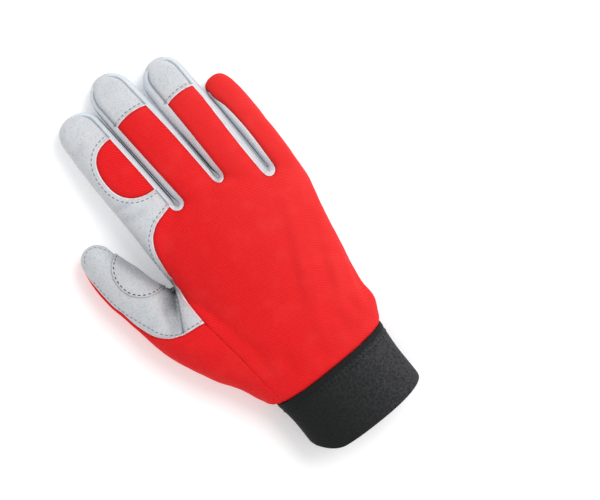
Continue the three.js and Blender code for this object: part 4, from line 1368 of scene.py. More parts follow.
class Tailor:
    """Cuts the skin along its seams and shapes the cloth beside them."""

    snap = 0.25
    rest = 0
    seam_width = 1.1
    groove = (0.85, 1.15)
    puff = (0.3, 3.4, 1.9)
    piping_width = 0.95
    plain_width = 0.8
    plain_seam_shade = 0.45
    plain_groove = 0.3
    tips_from = 200.0
    front_slope: Ramp = (0.45, 0.85)
    palm_slope: Ramp = (-0.35, 0.45)

    def __init__(self, skin: bmesh.types.BMesh) -> None:
        """Takes the skin, on which every face belongs to the rest at first."""
        self.skin = skin
        self.mark = skin.faces.layers.int.new("panel")
        self.seam = skin.verts.layers.float.new("seam")
        self.piping = skin.verts.layers.float.new("piping")
        self.palm = skin.verts.layers.float.new("palm")

    @classmethod
    def on_panel(cls, panel: bmesh.types.BMesh) -> Tailor:
        """Tailor for one panel that is already cut out, as its new rest."""
        tailor = cls.__new__(cls)
        tailor.skin = panel
        tailor.mark = panel.faces.layers.int["panel"]
        for face in panel.faces:
            face[tailor.mark] = cls.rest
        return tailor

    def cut(self, number: int, distance: Callable[[np.ndarray], np.ndarray]) -> None:
        """Cuts the rest along a region's edge and marks what lies inside.

        Args:
            number: Mark for the faces inside.
            distance: Signed distance of points from the region, negative inside.
        """
        faces = [face for face in self.skin.faces if face[self.mark] == self.rest]
        verts = list({vertex for face in faces for vertex in face.verts})
        edges = list({edge for face in faces for edge in face.edges})
        found = distance(np.array([vertex.co for vertex in verts]))
        value = {vertex: float(d) for vertex, d in zip(verts, found)}
        crossing = [edge for edge in edges if value[edge.verts[0]] * value[edge.verts[1]] < 0]
        for edge in crossing:
            a, b = edge.verts
            if value[a] * value[b] >= 0:
                continue
            share = value[a] / (value[a] - value[b])
            if share < self.snap or share > 1 - self.snap:
                moved = a if share < self.snap else b
                moved.co = a.co.lerp(b.co, share)
                value[moved] = 0.0
        for edge in crossing:
            a, b = edge.verts
            if value[a] * value[b] < 0:
                _, made = bmesh.utils.edge_split(edge, a, value[a] / (value[a] - value[b]))
                value[made] = 0.0
        on_line = [vertex for vertex, d in value.items() if d == 0.0]
        bmesh.ops.connect_verts(self.skin, verts=on_line)
        for face in self.skin.faces:
            if face[self.mark] == self.rest and sum(value.get(vertex, FAR) for vertex in face.verts) < 0:
                face[self.mark] = number

    def cut_cuff_seam(self) -> None:
        """Removes the skin on the cuff's side of the cuff seam."""
        self.cut(-1, cuff_seam_distance)
        extra = [face for face in self.skin.faces if face[self.mark] == -1]
        bmesh.ops.delete(self.skin, geom=extra, context="FACES")

    def shape_seams(self, panels: Sequence[Panel]) -> None:
        """Sinks the skin into its seams and puffs it beside them."""
        knit = {i + 1 for i, panel in enumerate(panels) if panel.cloth is Cloth.KNIT}
        all_seams, mixed, plain = set(), set(), set()
        for edge in self.skin.edges:
            marks = {face[self.mark] for face in edge.link_faces}
            if len(marks) > 1 or edge.is_boundary:
                all_seams.update(edge.verts)
                if len(marks & knit) == 1 and len(marks) == 2:
                    mixed.update(edge.verts)
                if len(marks & knit) == 2:
                    plain.update(edge.verts)
        near_seam, near_piping = nearest_of(all_seams - (plain - mixed)), nearest_of(mixed)
        near_plain = nearest_of(plain)
        self.skin.normal_update()
        calm = slit_calm(mesh_arrays(self.skin)[0])
        moves = []
        for vertex, keep in zip(self.skin.verts, calm):
            d = near_seam(vertex.co)
            front = 0.0
            if vertex.co.y > self.tips_from:
                front = float(smooth_step(vertex.normal.y, *self.front_slope))
            # The seam value is painted shade in the seam grooves, weaker on the fronts of the fingertips;
            # knit-to-knit seams get a fainter line of it.
            vertex[self.seam] = bell(d, self.seam_width) * (1 - 0.8 * front)
            vertex[self.piping] = bell(near_piping(vertex.co), self.piping_width)
            vertex[self.palm] = float(smooth_step(-vertex.normal.z, *self.palm_slope))
            puff = self.puff[0] * bell(d - self.puff[1], self.puff[2]) * keep
            line = bell(near_plain(vertex.co), self.plain_width)
            vertex[self.seam] = max(vertex[self.seam], self.plain_seam_shade * line)
            sunk = self.groove[0] * bell(d, self.groove[1])
            moves.append((puff - sunk) * (1 - 0.85 * front) - self.plain_groove * line)
        for vertex, move in zip(self.skin.verts, moves):
            vertex.co += vertex.normal * move
            vertex.co.z = max(vertex.co.z, 0.0)
        self.skin.normal_update()

    def panel(self, number: int) -> bmesh.types.BMesh:
        """Copy of the part of the skin that carries a mark."""
        copy = self.skin.copy()
        mark = copy.faces.layers.int["panel"]
        others = [face for face in copy.faces if face[mark] != number]
        bmesh.ops.delete(copy, geom=others, context="FACES")
        return copy


def bell(distance: float, width: float) -> float:
    """Bell curve that is 1 at no distance."""
    return math.exp(-((distance / width) ** 2))


def nearest_of(verts: Iterable[bmesh.types.BMVert]) -> Callable[[Vector], float]:
    """Function that gives the distance from a point to the nearest of some vertices."""
    verts = list(verts)
    tree = KDTree(len(verts))
    for i, vertex in enumerate(verts):
        tree.insert(vertex.co, i)
    tree.balance()
    return lambda point: tree.find(point)[2]


class Placer:
    """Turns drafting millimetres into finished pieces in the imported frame."""

    def __init__(self) -> None:
        """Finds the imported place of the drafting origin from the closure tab."""
        low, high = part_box("closure_tab")
        middle = (Vector(low) + Vector(high)) / 2
        tab = Tab()
        place = Vector(((tab.root + tab.free_end) / 2, tab.middle, 0.0)) * MILLIMETRE
        self.shift = Vector((middle.x, middle.y, 0.0)) - place

    def point(self, place: Sequence[float]) -> Vector:
        """Packed place of a drafting point."""
        return Vector(place) * MILLIMETRE + self.shift

    def piece(
        self,
        name: str,
        bm: bmesh.types.BMesh,
        material: bpy.types.Material,
        slot: str,
        nodes: Sequence[str] = (),
        wall: float = 0.0,
        offset: float = -1.0,
    ) -> bpy.types.Object:
        """Makes a piece from a mesh in drafting millimetres, which is freed.

        Args:
            name: Name of the piece.
            bm: Its mesh.
            material: Its finish.
            slot: Material slot of the record; not used.
            nodes: Solids that it stands for.
            wall: Thickness that a sheet is given, or 0 for a closed body.
            offset: -1 for a wall inwards and 1 for one outwards.

        Returns:
            The finished object.
        """
        bm.transform(Matrix.Translation(self.shift) @ Matrix.Scale(MILLIMETRE, 4))
        for face in bm.faces:
            face.smooth = True
        mesh = bpy.data.meshes.new(name)
        bm.to_mesh(mesh)
        bm.free()
        mesh.materials.append(material)
        piece = bpy.data.objects.new(name, mesh)
        bpy.context.scene.collection.objects.link(piece)
        if wall:
            solid = piece.modifiers.new("wall", "SOLIDIFY")
            solid.thickness = wall * MILLIMETRE
            solid.offset = offset
        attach(piece, "root")
        if nodes:
            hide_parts(*nodes)
        log.info("%s: %d faces", name, len(mesh.polygons))
        return piece


@dataclass(frozen=True)
class CuffSection:
    """Section of the cuff, in shares of its height and the wrist's size."""

    along: float
    width: float
    thickness: float


CUFF_SECTIONS = (
    CuffSection(-0.4, 0.945, 0.95),
    CuffSection(0.0, 0.957, 0.97),
    CuffSection(0.5, 0.957, 1.0),
    CuffSection(0.9, 0.988, 1.0),
    CuffSection(1.1, 0.99, 1.0),
)


@dataclass(frozen=True)
class Cuff:
    """Elastic band around the wrist, with the binding along its upper edge."""

    wall: float = 2.4
    sides: int = 48
    rows: int = 16
    binding_width: float = 3.2
    binding_thickness: float = 0.4
    least_binding: float = 2.0
    side_shift: float = -0.35
    seam_gap: float = 0.15
    corner_from: float = 22.0
    corner_bend: float = 0.035
    end_tilt: float = 0.01
    edge_round: float = 0.03
    waver: tuple[float, float] = (0.05, 0.5)
    row_section: float = 0.85
    row_turn: float = 1.6

    def section(self, along: float, grow: float) -> Section:
        """Section at a share of the cuff's height, grown by a distance."""
        width = follow(CUFF_SECTIONS, "width", along)
        thickness = follow(CUFF_SECTIONS, "thickness", along) * SIZES.wrist_thickness
        down = SIZES.wrist_widest - SIZES.wrist_bottom
        return Section(
            Vector((SIZES.wrist_middle + self.side_shift, 0.0, SIZES.wrist_widest)),
            Vector((0.0, 1.0)),
            width * SIZES.wrist_width / 2 + grow,
            thickness - down + grow,
            down + grow,
            HAND_SQUARENESS,
            self.sides,
        )

    def low_edge(self, point: Vector) -> float:
        """Place of the open end, which leans towards the thumb's side."""
        height = SIZES.wrist_widest - SIZES.wrist_bottom
        from_middle = point.x - SIZES.wrist_middle
        corner = max(0.0, -self.corner_from - from_middle)
        lean = self.corner_bend * corner**2 - self.end_tilt * from_middle
        risen = float(smooth_step((point.z - SIZES.wrist_bottom) / height, 0.1, 1.0))
        return float(cuff_edge(np.array(point.z), 0.0, 0.0, -SIZES.cuff_end_drop)) + risen * lean

    def high_edge(self, z: float) -> float:
        """Place of the seam with the hand at a height."""
        edge = cuff_edge(np.array(z), SIZES.cuff_height, SIZES.cuff_seam_rise, -SIZES.cuff_seam_drop)
        return float(edge) - self.seam_gap

    def ring(self, share: float, grow: float) -> list[Vector]:
        """Ring at a share of the way from the open end to the seam."""
        points = self.section(share, grow).ring()
        for point in points:
            low, high = self.low_edge(point), self.high_edge(point.z)
            point.y = low + share * (high - low)
        return points

    def band(self) -> bmesh.types.BMesh:
        """Tube of the cuff with rounded edges."""
        edge = self.edge_round
        middle = np.linspace(2 * edge, 1 - 2 * edge, self.rows)
        shares = [0.0, edge / 3, edge, *middle, 1 - edge, 1 - edge / 3, 1.0]
        sink = {0.0: 0.7, edge / 3: 0.25, 1 - edge / 3: 0.5, 1.0: 1.1}
        loft = Loft()
        outer = [self.ring(share, -sink.get(share, 0.0)) for share in shares]
        inner = [self.ring(share, -self.wall) for share in reversed(shares)]
        loft.add_skin([*outer, *inner], closed=True)
        bm = loft.finish()
        for vertex in bm.verts:
            vertex.co.x += noise.noise(vertex.co * self.waver[0]) * self.waver[1]
        return bm

    def binding(self, tab: Tab) -> bmesh.types.BMesh:
        """Flat ring along the cuff's upper edge, narrower above the tab."""
        loft = Loft()
        profile = [(0.0, 0.0), (0.0, 0.5), (0.12, 0.95), (0.3, 1.0)]
        profile += [(0.7, 1.0), (0.88, 0.95), (1.0, 0.5), (1.0, 0.0)]
        rings = []
        for share, rise in profile:
            points = self.section(1.0, rise * self.binding_thickness).ring()
            for point in points:
                high = self.high_edge(point.z)
                low = high - self.binding_width
                if point.z < SIZES.wrist_widest:
                    low = max(low, min(tab.upper_edge(point.x) + tab.lift, high - self.least_binding))
                point.y = low + share * (high - low)
            rings.append(points)
        loft.add_skin(rings, closed=True)
        return loft.finish()

    def stitch_line(self, below: float) -> list[tuple[Vector, Vector]]:
        """Points and outward directions of a row at a distance below the upper edge."""
        points = self.section(self.row_section, 0.0).ring()
        centre = Vector((SIZES.wrist_middle, 0.0, SIZES.wrist_widest))
        line = []
        for point in points:
            outward = Vector((point.x - centre.x, 0.0, self.row_turn * (point.z - centre.z))).normalized()
            point.y = self.high_edge(point.z) - below
            line.append((point, outward))
        return [*line, line[0]]


@dataclass(frozen=True)
class Tab:
    """Closure tab under the wrist, with a rim, a bare moulded face and a sewn root."""

    width: float = 37.0
    length: float = 61.0
    thickness: float = 1.5
    face_thickness: float = 1.0
    plate_thickness: float = 0.85
    crown: float = 0.1
    rim_width: float = 4.0
    root_width: float = 7.5
    lift: float = 0.3
    stitch_inset: float = 1.4
    row_overlap: float = 0.1
    row_sink: float = 0.15
    row_span: float = 0.92

    @property
    def middle(self) -> float:
        """Place of the tab's middle line along the glove."""
        return 0.48 * SIZES.cuff_height

    @property
    def root(self) -> float:
        """Place of the tab's sewn end across the glove."""
        return SIZES.wrist_middle + 0.465 * SIZES.wrist_width

    @property
    def free_end(self) -> float:
        """Place of the tab's rounded end across the glove."""
        return self.root - self.length

    @property
    def centre(self) -> float:
        """Place of the rounded end's centre across the glove."""
        return self.free_end + self.width / 2

    def upper_edge(self, x: float) -> float:
        """Upper edge of the tab at a place across the glove."""
        radius = self.width / 2
        if x > self.root or x < self.free_end:
            return -FAR
        if x > self.centre:
            return self.middle + radius
        return self.middle + math.sqrt(max(radius**2 - (x - self.centre) ** 2, 0.0))

    def bent(self, x: float, y: float, height: float) -> Vector:
        """Point at a height on the outside of the cuff's underside."""
        section = Cuff().section(y / SIZES.cuff_height, height)
        across = min(abs(x - SIZES.wrist_middle) / section.half_width, 0.995)
        drop = (1 - across ** section.squareness[1]) ** (1 / section.squareness[1])
        return Vector((x, y, max(section.centre.z - section.down * drop, 0.0)))

    def plate(
        self, inset: float, root: float, base: float, thickness: float, crown: float = 0.0
    ) -> bmesh.types.BMesh:
        """Tongue with a rounded end and soft edges.

        Args:
            inset: Distance inside the tab's outline.
            root: Place of its straight end across the glove.
            base: Height of its inner side on the cuff.
            thickness: Its thickness.
            crown: Extra height along its middle.

        Returns:
            The closed plate.
        """
        radius = self.width / 2 - inset
        stations = [(x, radius) for x in np.linspace(root, self.centre, 34)]
        for degrees in np.linspace(6, 87, 16):
            angle = math.radians(degrees)
            stations.append((self.centre - radius * math.sin(angle), radius * math.cos(angle)))
        rings = []
        for x, half in stations:
            points = []
            for share, rise in rounded_slab(30, thickness / (2 * radius)):
                y = self.middle + share * half
                bulge = crown * (1 - share**2) * (half / radius) ** 2 * max(rise, 0.0)
                points.append(self.bent(x, y, base + (rise + 1) / 2 * thickness + bulge))
            rings.append(points)
        loft = Loft()
        loft.add_skin(rings)
        return loft.finish()

    def band(self, path: Sequence[tuple[float, float]], width: float) -> bmesh.types.BMesh:
        """Flat band with soft edges along a plan path, on the base tongue."""
        rings = []
        line = [Vector(point) for point in path]
        for i, place in enumerate(line):
            heading = (line[min(i + 1, len(line) - 1)] - line[max(i - 1, 0)]).normalized()
            across = Vector((heading.y, -heading.x))
            points = []
            for share, rise in rounded_slab(12, self.face_thickness / width):
                at = place + across * share * width / 2
                points.append(self.bent(at.x, at.y, self.face_base + (rise + 1) / 2 * self.face_thickness))
            rings.append(points)
        loft = Loft()
        loft.add_skin(rings)
        return loft.finish()

    def outline(self, inset: float, root: float) -> list[tuple[float, float]]:
        """Plan path around the tab at a distance inside its edge, from root to root."""
        radius = self.width / 2 - inset
        path = [(x, self.middle + radius) for x in np.linspace(root, self.centre, 30)]
        for angle in np.linspace(math.pi / 2, 1.5 * math.pi, 33)[1:-1]:
            path.append((self.centre + radius * math.cos(angle), self.middle + radius * math.sin(angle)))
        path += [(x, self.middle - radius) for x in np.linspace(self.centre, root, 30)]
        return path

    def stitch_lines(self) -> list[list[tuple[Vector, Vector]]]:
        """Rows around the face, inside the rim, and along the root strip."""
        down = Vector((0.0, 0.0, -1.0))
        top = self.face_base + self.face_thickness
        path = self.outline(self.rim_width - self.row_overlap, self.face_root)
        rows = [[(self.bent(x, y, top - self.row_sink), down) for x, y in path]]
        for inset in (self.stitch_inset, self.root_width - self.stitch_inset):
            ys = np.linspace(-self.row_span, self.row_span, 40) * self.width / 2
            rows.append([(self.bent(self.root - inset, self.middle + y, top), down) for y in ys])
        return rows

    @property
    def face_base(self) -> float:
        """Height of the face layer's inner side on the cuff."""
        return 2 * self.lift + self.thickness

    def base(self) -> bmesh.types.BMesh:
        """Base tongue that the face is sewn on."""
        return self.plate(0.0, self.root, self.lift, self.thickness)

    def face(self) -> bmesh.types.BMesh:
        """Bare moulded face inside the rim."""
        inset, root = self.rim_width + self.lift, self.face_root - self.lift
        return self.plate(inset, root, self.face_base, self.plate_thickness, self.crown)

    @property
    def face_root(self) -> float:
        """Place across the glove where the face meets the root strip."""
        return self.root - self.root_width

    def rim(self) -> bmesh.types.BMesh:
        """Raised rim around the face."""
        return self.band(self.outline(self.rim_width / 2, self.face_root - self.lift), self.rim_width)

    def root_strip(self) -> bmesh.types.BMesh:
        """Strip across the tab where it is sewn to the cuff."""
        x = self.root - self.root_width / 2
        half = self.width / 2
        path = [(x, self.middle + y) for y in np.linspace(-half, half, 30)]
        return self.band(path, self.root_width)


def rounded_slab(sides: int, aspect: float) -> list[tuple[float, float]]:
    """Section of a thin slab with round edges, as (across, rise) from -1 to 1 each.

    Args:
        sides: Number of points on each face.
        aspect: Thickness as a share of the width.

    Returns:
        Points around the section.
    """
    flat, turns = 1 - aspect, (0.9, 0.3, -0.3, -0.9)
    top = [(x, 1.0) for x in np.linspace(-flat, flat, sides)]
    right = [(flat + aspect * math.cos(a), math.sin(a)) for a in turns]
    bottom = [(x, -1.0) for x in np.linspace(flat, -flat, sides)]
    left = [(-flat - aspect * math.cos(a), -math.sin(a)) for a in turns]
    return [*top, *right, *bottom, *left]


@dataclass(frozen=True)
class Thread:
    """Sewing thread: stitch length, distance between stitches and thickness."""

    length: float = 2.1
    pitch: float = 3.0
    thickness: float = 0.55
    sink: float = 0.05


class Stitcher:
    """Sews rows of stitches on to a surface."""

    clear_height = 90.0
    step = 0.5
    longest_step = 4.0
    shortest_stitch = 0.3
    flatness = 0.8

    def __init__(self, surface: bmesh.types.BMesh, thread: Thread) -> None:
        """Takes the surface to sew on and the thread."""
        self.tree = BVHTree.FromBMesh(surface)
        self.thread = thread
        self.bm = bmesh.new()

    def on_plan(self, path: Sequence[tuple[float, float]], side: FloorSide) -> None:
        """Sews along a plan line, on the back or on the palm side."""
        height = self.clear_height * side.value
        towards = Vector((0.0, 0.0, -side.value))
        line = []
        for x, y in resampled([Vector((*point, 0.0)) for point in path], self.step):
            place, normal, _, _ = self.tree.ray_cast(Vector((x, y, height)), towards)
            if place is not None:
                line.append((place, normal))
        self.on_line(line)

    def on_line(self, line: Sequence[tuple[Vector, Vector]]) -> None:
        """Sews along points with their outward directions."""
        thread = self.thread
        travelled, next_start = 0.0, 0.0
        start: tuple[Vector, Vector] | None = None
        for (a, normal), (b, _) in zip(line, line[1:]):
            step = (b - a).length
            if step > self.longest_step:
                start = None
                travelled += step
                next_start = travelled
                continue
            while start is None and travelled + step >= next_start:
                start = (a.lerp(b, (next_start - travelled) / max(step, 1e-9)), normal)
            if start is not None and travelled + step >= next_start + thread.length:
                end = a.lerp(b, (next_start + thread.length - travelled) / max(step, 1e-9))
                self.stitch(start[0], end, start[1])
                next_start += thread.pitch
                start = None
            travelled += step

    def stitch(self, start: Vector, end: Vector, normal: Vector) -> None:
        """Adds one stitch between two points."""
        along = end - start
        if along.length < self.shortest_stitch:
            return
        x = along.normalized()
        y = normal.cross(x).normalized()
        z = x.cross(y)
        turn = Matrix((x, y, z)).transposed().to_4x4()
        half = self.thread.thickness / 2
        thick = half * self.flatness
        size = Matrix.Diagonal((along.length / 2, half, thick, 1.0))
        middle = (start + end) / 2 + z * (thick / 2 - self.thread.sink)
        matrix = Matrix.Translation(middle) @ turn @ size @ Matrix.Rotation(math.pi / 2, 4, "Y")
        bmesh.ops.create_uvsphere(self.bm, u_segments=6, v_segments=5, radius=1.0, matrix=matrix)


def resampled(points: Sequence[Vector], step: float) -> list[tuple[float, float]]:
    """Plan points of a line at even distances."""
    line = []
    for a, b in zip(points, points[1:]):
        count = max(1, round((b - a).length / step))
        line += [tuple(a.lerp(b, i / count).xy) for i in range(count)]
    return [*line, tuple(points[-1].xy)]


def shifted(points: Sequence[tuple[float, float]], distance: float) -> list[tuple[float, float]]:
    """Line beside a plan line, to its left for a positive distance."""
    line = [Vector(point) for point in points]
    result = []
    for i, place in enumerate(line):
        heading = (line[min(i + 1, len(line) - 1)] - line[max(i - 1, 0)]).normalized()
        result.append(tuple(place + Vector((-heading.y, heading.x)) * distance))
    return result


Steps = tuple[int, int, int]
WHITE = (1.0, 1.0, 1.0, 1.0)


def linear(red: int, green: int, blue: int) -> tuple[float, float, float, float]:
    """Scene colour of a colour given in display steps from 0 to 255."""
    steps = [value / 255 for value in (red, green, blue)]
    return (*[s / 12.92 if s <= 0.04045 else ((s + 0.055) / 1.055) ** 2.4 for s in steps], 1.0)


class Graph:
    """Adds nodes to one node tree."""

    def __init__(self, tree: bpy.types.NodeTree) -> None:
        """Takes the tree to work in."""
        self.tree = tree

    def add(
        self, kind: str, inputs: dict[str | int, object] | None = None, **settings: object
    ) -> bpy.types.Node:
        """Adds a node.

        Args:
            kind: Node type.
            inputs: Values or output sockets for the node's inputs.
            **settings: Properties of the node.

        Returns:
            The new node.
        """
        node = self.tree.nodes.new(kind)
        for name, value in settings.items():
            setattr(node, name, value)
        for name, value in (inputs or {}).items():
            if isinstance(value, bpy.types.NodeSocket):
                self.tree.links.new(value, node.inputs[name])
            else:
                node.inputs[name].default_value = value
        return node

    def math(self, operation: str, a: object, b: object = 0.0, c: object = 0.0) -> bpy.types.NodeSocket:
        """Adds a calculation with up to three values."""
        return self.add("ShaderNodeMath", {0: a, 1: b, 2: c}, operation=operation).outputs[0]

    def mix(self, share: object, a: object, b: object) -> bpy.types.NodeSocket:
        """Adds a blend from one colour to another."""
        return self.add("ShaderNodeMix", {0: share, 6: a, 7: b}, data_type="RGBA").outputs[2]

    def millimetres(self) -> bpy.types.NodeSocket:
        """Adds object coordinates in millimetres."""
        place = self.add("ShaderNodeTexCoord").outputs["Object"]
        scaled = self.add("ShaderNodeVectorMath", {0: place, "Scale": 1000.0}, operation="SCALE")
        return scaled.outputs["Vector"]

    def attribute(self, name: str) -> bpy.types.NodeSocket:
        """Adds a value that each vertex holds."""
        return self.add("ShaderNodeAttribute", attribute_name=name).outputs["Fac"]

    def painted_light_ramp(self, place: object, low: float, high: float) -> bpy.types.NodeSocket:
        """Adds a painted light ramp that grows from 0 at one place across the glove to 1 at another."""
        return self.spread(self.add("ShaderNodeSeparateXYZ", {0: place}).outputs["X"], low, high)

    def wave(self, place: object, direction: Sequence[float], period: object) -> bpy.types.NodeSocket:
        """Adds even ridges across a direction, from -1 to 1."""
        run = self.add("ShaderNodeVectorMath", {0: place, 1: direction}, operation="DOT_PRODUCT")
        turns = self.math("DIVIDE", run.outputs["Value"], period)
        return self.math("SINE", self.math("MULTIPLY", turns, 2 * math.pi))

    def noise(self, place: object, size: float, detail: float = 2.0) -> bpy.types.NodeSocket:
        """Adds soft noise whose lumps have a size in millimetres, from 0 to 1."""
        inputs = {"Vector": place, "Scale": 1 / size, "Detail": detail, "Roughness": 0.55}
        return self.add("ShaderNodeTexNoise", inputs).outputs["Fac"]

    def spread(self, value: object, low: float, high: float) -> bpy.types.NodeSocket:
        """Adds a ramp from 0 at one value to 1 at another."""
        inputs = {"Value": value, "From Min": low, "From Max": high}
        return self.add("ShaderNodeMapRange", inputs).outputs["Result"]


def effect(
    name: str, inputs: dict[str, object], outputs: Sequence[str]
) -> tuple[Graph, dict, bpy.types.Node]:
    """Starts a node group.

    Args:
        name: Name of the group.
        inputs: Names and default values of its inputs.
        outputs: Names of its outputs; those that end in "colour" are colours.

    Returns:
        Its graph, its input sockets by name and its output node.
    """
    tree = bpy.data.node_groups.new(name, "ShaderNodeTree")
    for label, value in inputs.items():
        kind = "NodeSocketFloat" if isinstance(value, float) else "NodeSocketColor"
        tree.interface.new_socket(label, in_out="INPUT", socket_type=kind).default_value = value
    for label in outputs:
        kind = "NodeSocketColor" if label.endswith("olour") else "NodeSocketFloat"
        tree.interface.new_socket(label, in_out="OUTPUT", socket_type=kind)
    graph = Graph(tree)
    start = graph.add("NodeGroupInput")
    end = graph.add("NodeGroupOutput")
    return graph, {label: start.outputs[label] for label in inputs}, end


def connect(graph: Graph, end: bpy.types.Node, values: dict[str, bpy.types.NodeSocket]) -> bpy.types.NodeTree:
    """Joins values to a group's outputs and gives the finished group."""
    for label, value in values.items():
        graph.tree.links.new(value, end.inputs[label])
    return graph.tree


class Effects:
    """Node groups that several finishes share."""

    def __init__(self) -> None:
        """Builds every group once."""
        self.knit = self.build_knit()
        self.suede = self.build_suede()
        self.weave = self.build_weave()
        self.seams = self.build_seams()

    def build_knit(self) -> bpy.types.NodeTree:
        """Fine diagonal ribs of a stretch knit."""
        graph, given, end = effect(
            "fine_knit",
            {"Rib colour": WHITE, "Valley colour": WHITE, "Faded colour": WHITE, "Period": 1.3},
            ("Colour", "Height", "Roughness"),
        )
        place = graph.millimetres()
        wander = graph.noise(place, 14.0)
        ribs = graph.wave(place, (0.74, 0.55, 0.4), given["Period"])
        courses = graph.wave(place, (-0.5, 0.82, 0.3), graph.math("MULTIPLY", given["Period"], 0.8))
        relief = graph.math("MULTIPLY_ADD", ribs, 0.32, graph.math("MULTIPLY_ADD", courses, 0.2, 0.5))
        loops = graph.noise(place, 0.5, 3.0)
        relief = graph.math("MULTIPLY_ADD", graph.math("SUBTRACT", loops, 0.5), 0.7, relief)
        grain = graph.noise(place, 1.1, 2.0)
        tone = graph.math("MULTIPLY_ADD", graph.math("SUBTRACT", grain, 0.5), 0.9, relief)
        colour = graph.mix(tone, given["Valley colour"], given["Rib colour"])
        # Random fading, plus painted light that grows towards the little finger's side.
        faded_and_lit = graph.math("MULTIPLY", graph.spread(wander, 0.5, 0.9), 0.4)
        faded_and_lit = graph.math("MULTIPLY_ADD", graph.painted_light_ramp(place, 0.0, 75.0), 0.55, faded_and_lit)
        colour = graph.mix(faded_and_lit, colour, given["Faded colour"])
        rough = graph.math("MULTIPLY_ADD", loops, 0.12, 0.78)
        return connect(graph, end, {"Colour": colour, "Height": relief, "Roughness": rough})

    def build_suede(self) -> bpy.types.NodeTree:
        """Short nap and mottled tone of a synthetic suede."""
        graph, given, end = effect(
            "brushed_suede",
            {
                "Base colour": WHITE,
                "Dark colour": WHITE,
                "Light colour": WHITE,
                "Palm colour": WHITE,
                "Shade colour": WHITE,
                "Nap": 0.45,
            },
            ("Colour", "Height", "Roughness"),
        )
        place = graph.millimetres()
        cloud = graph.noise(place, 9.0, 3.0)
        fleck = graph.noise(place, 1.2, 4.0)
        size = graph.math("DIVIDE", 1.0, given["Nap"])
        fine = graph.add("ShaderNodeTexNoise", {"Vector": place, "Scale": size, "Detail": 3.0}).outputs["Fac"]
        colour = graph.mix(graph.spread(cloud, 0.35, 0.75), given["Base colour"], given["Light colour"])
        colour = graph.mix(graph.attribute("palm"), colour, given["Palm colour"])
        colour = graph.mix(graph.spread(fleck, 0.5, 0.85), colour, given["Dark colour"])
        specks = graph.math("MULTIPLY", graph.spread(fine, 0.45, 0.8), 0.5)
        colour = graph.mix(specks, colour, given["Dark colour"])
        # Painted shade from each vertex's shade value, made uneven by the flecks.
        uneven = graph.math("MULTIPLY_ADD", fleck, 0.5, 0.65)
        shade = graph.math("MULTIPLY", graph.attribute("shade"), uneven)
        colour = graph.mix(shade, colour, given["Shade colour"])
        relief = graph.math("MULTIPLY_ADD", fleck, 0.5, graph.math("MULTIPLY", fine, 0.5))
        rough = graph.math("MULTIPLY_ADD", fine, 0.1, 0.85)
        return connect(graph, end, {"Colour": colour, "Height": relief, "Roughness": rough})

    def build_weave(self) -> bpy.types.NodeTree:
        """Close weave of an elastic webbing."""
        graph, given, end = effect(
            "elastic_weave",
            {"Yarn colour": WHITE, "Gap colour": WHITE, "Lint colour": WHITE, "Period": 1.1},
            ("Colour", "Height", "Roughness"),
        )
        place = graph.millimetres()
        rows = graph.wave(place, (0.0, 1.0, 0.0), given["Period"])
        columns = graph.wave(place, (0.8, 0.0, 0.6), given["Period"])
        checks = graph.math("MULTIPLY", rows, columns)
        fuzz = graph.noise(place, 0.6, 4.0)
        relief = graph.math("MULTIPLY_ADD", checks, 0.3, graph.math("MULTIPLY_ADD", rows, 0.15, fuzz))
        colour = graph.mix(graph.spread(relief, 0.1, 0.9), given["Gap colour"], given["Yarn colour"])
        grain = graph.noise(place, 1.5, 3.0)
        # Lint in random patches, brightened by painted light that grows towards the little finger's side.
        painted_light_ramp = graph.painted_light_ramp(place, -20.0, 45.0)
        lint_and_light = graph.math("MULTIPLY_ADD", graph.spread(grain, 0.35, 0.65), 1.1, 0.35)
        lint_and_light = graph.math("MULTIPLY", lint_and_light, graph.math("MULTIPLY_ADD", painted_light_ramp, painted_light_ramp, 0.1))
        colour = graph.mix(lint_and_light, colour, given["Lint colour"])
        rough = graph.math("MULTIPLY_ADD", fuzz, 0.2, 0.7)
        return connect(graph, end, {"Colour": colour, "Height": relief, "Roughness": rough})

    def build_seams(self) -> bpy.types.NodeTree:
        """Shade in a seam and the pale folded edge beside the knit."""
        graph, given, end = effect(
            "sewn_edges",
            {
                "Cloth colour": WHITE,
                "Seam colour": WHITE,
                "Edge colour": WHITE,
                "Seam amount": 0.6,
                "Edge amount": 0.8,
            },
            ("Colour",),
        )
        deep = graph.spread(graph.attribute("seam"), 0.25, 0.9)
        deep = graph.math("MULTIPLY", deep, given["Seam amount"])
        colour = graph.mix(deep, given["Cloth colour"], given["Seam colour"])
        pale = graph.spread(graph.attribute("piping"), 0.3, 0.75)
        pale = graph.math("MULTIPLY", pale, given["Edge amount"])
        colour = graph.mix(pale, colour, given["Edge colour"])
        return connect(graph, end, {"Colour": colour})


LABELS = {
    "knit": ("Rib colour", "Valley colour", "Faded colour", "Period"),
    "weave": ("Yarn colour", "Gap colour", "Lint colour", "Period"),
    "suede": ("Base colour", "Dark colour", "Light colour", "Palm colour", "Shade colour", "Nap"),
}


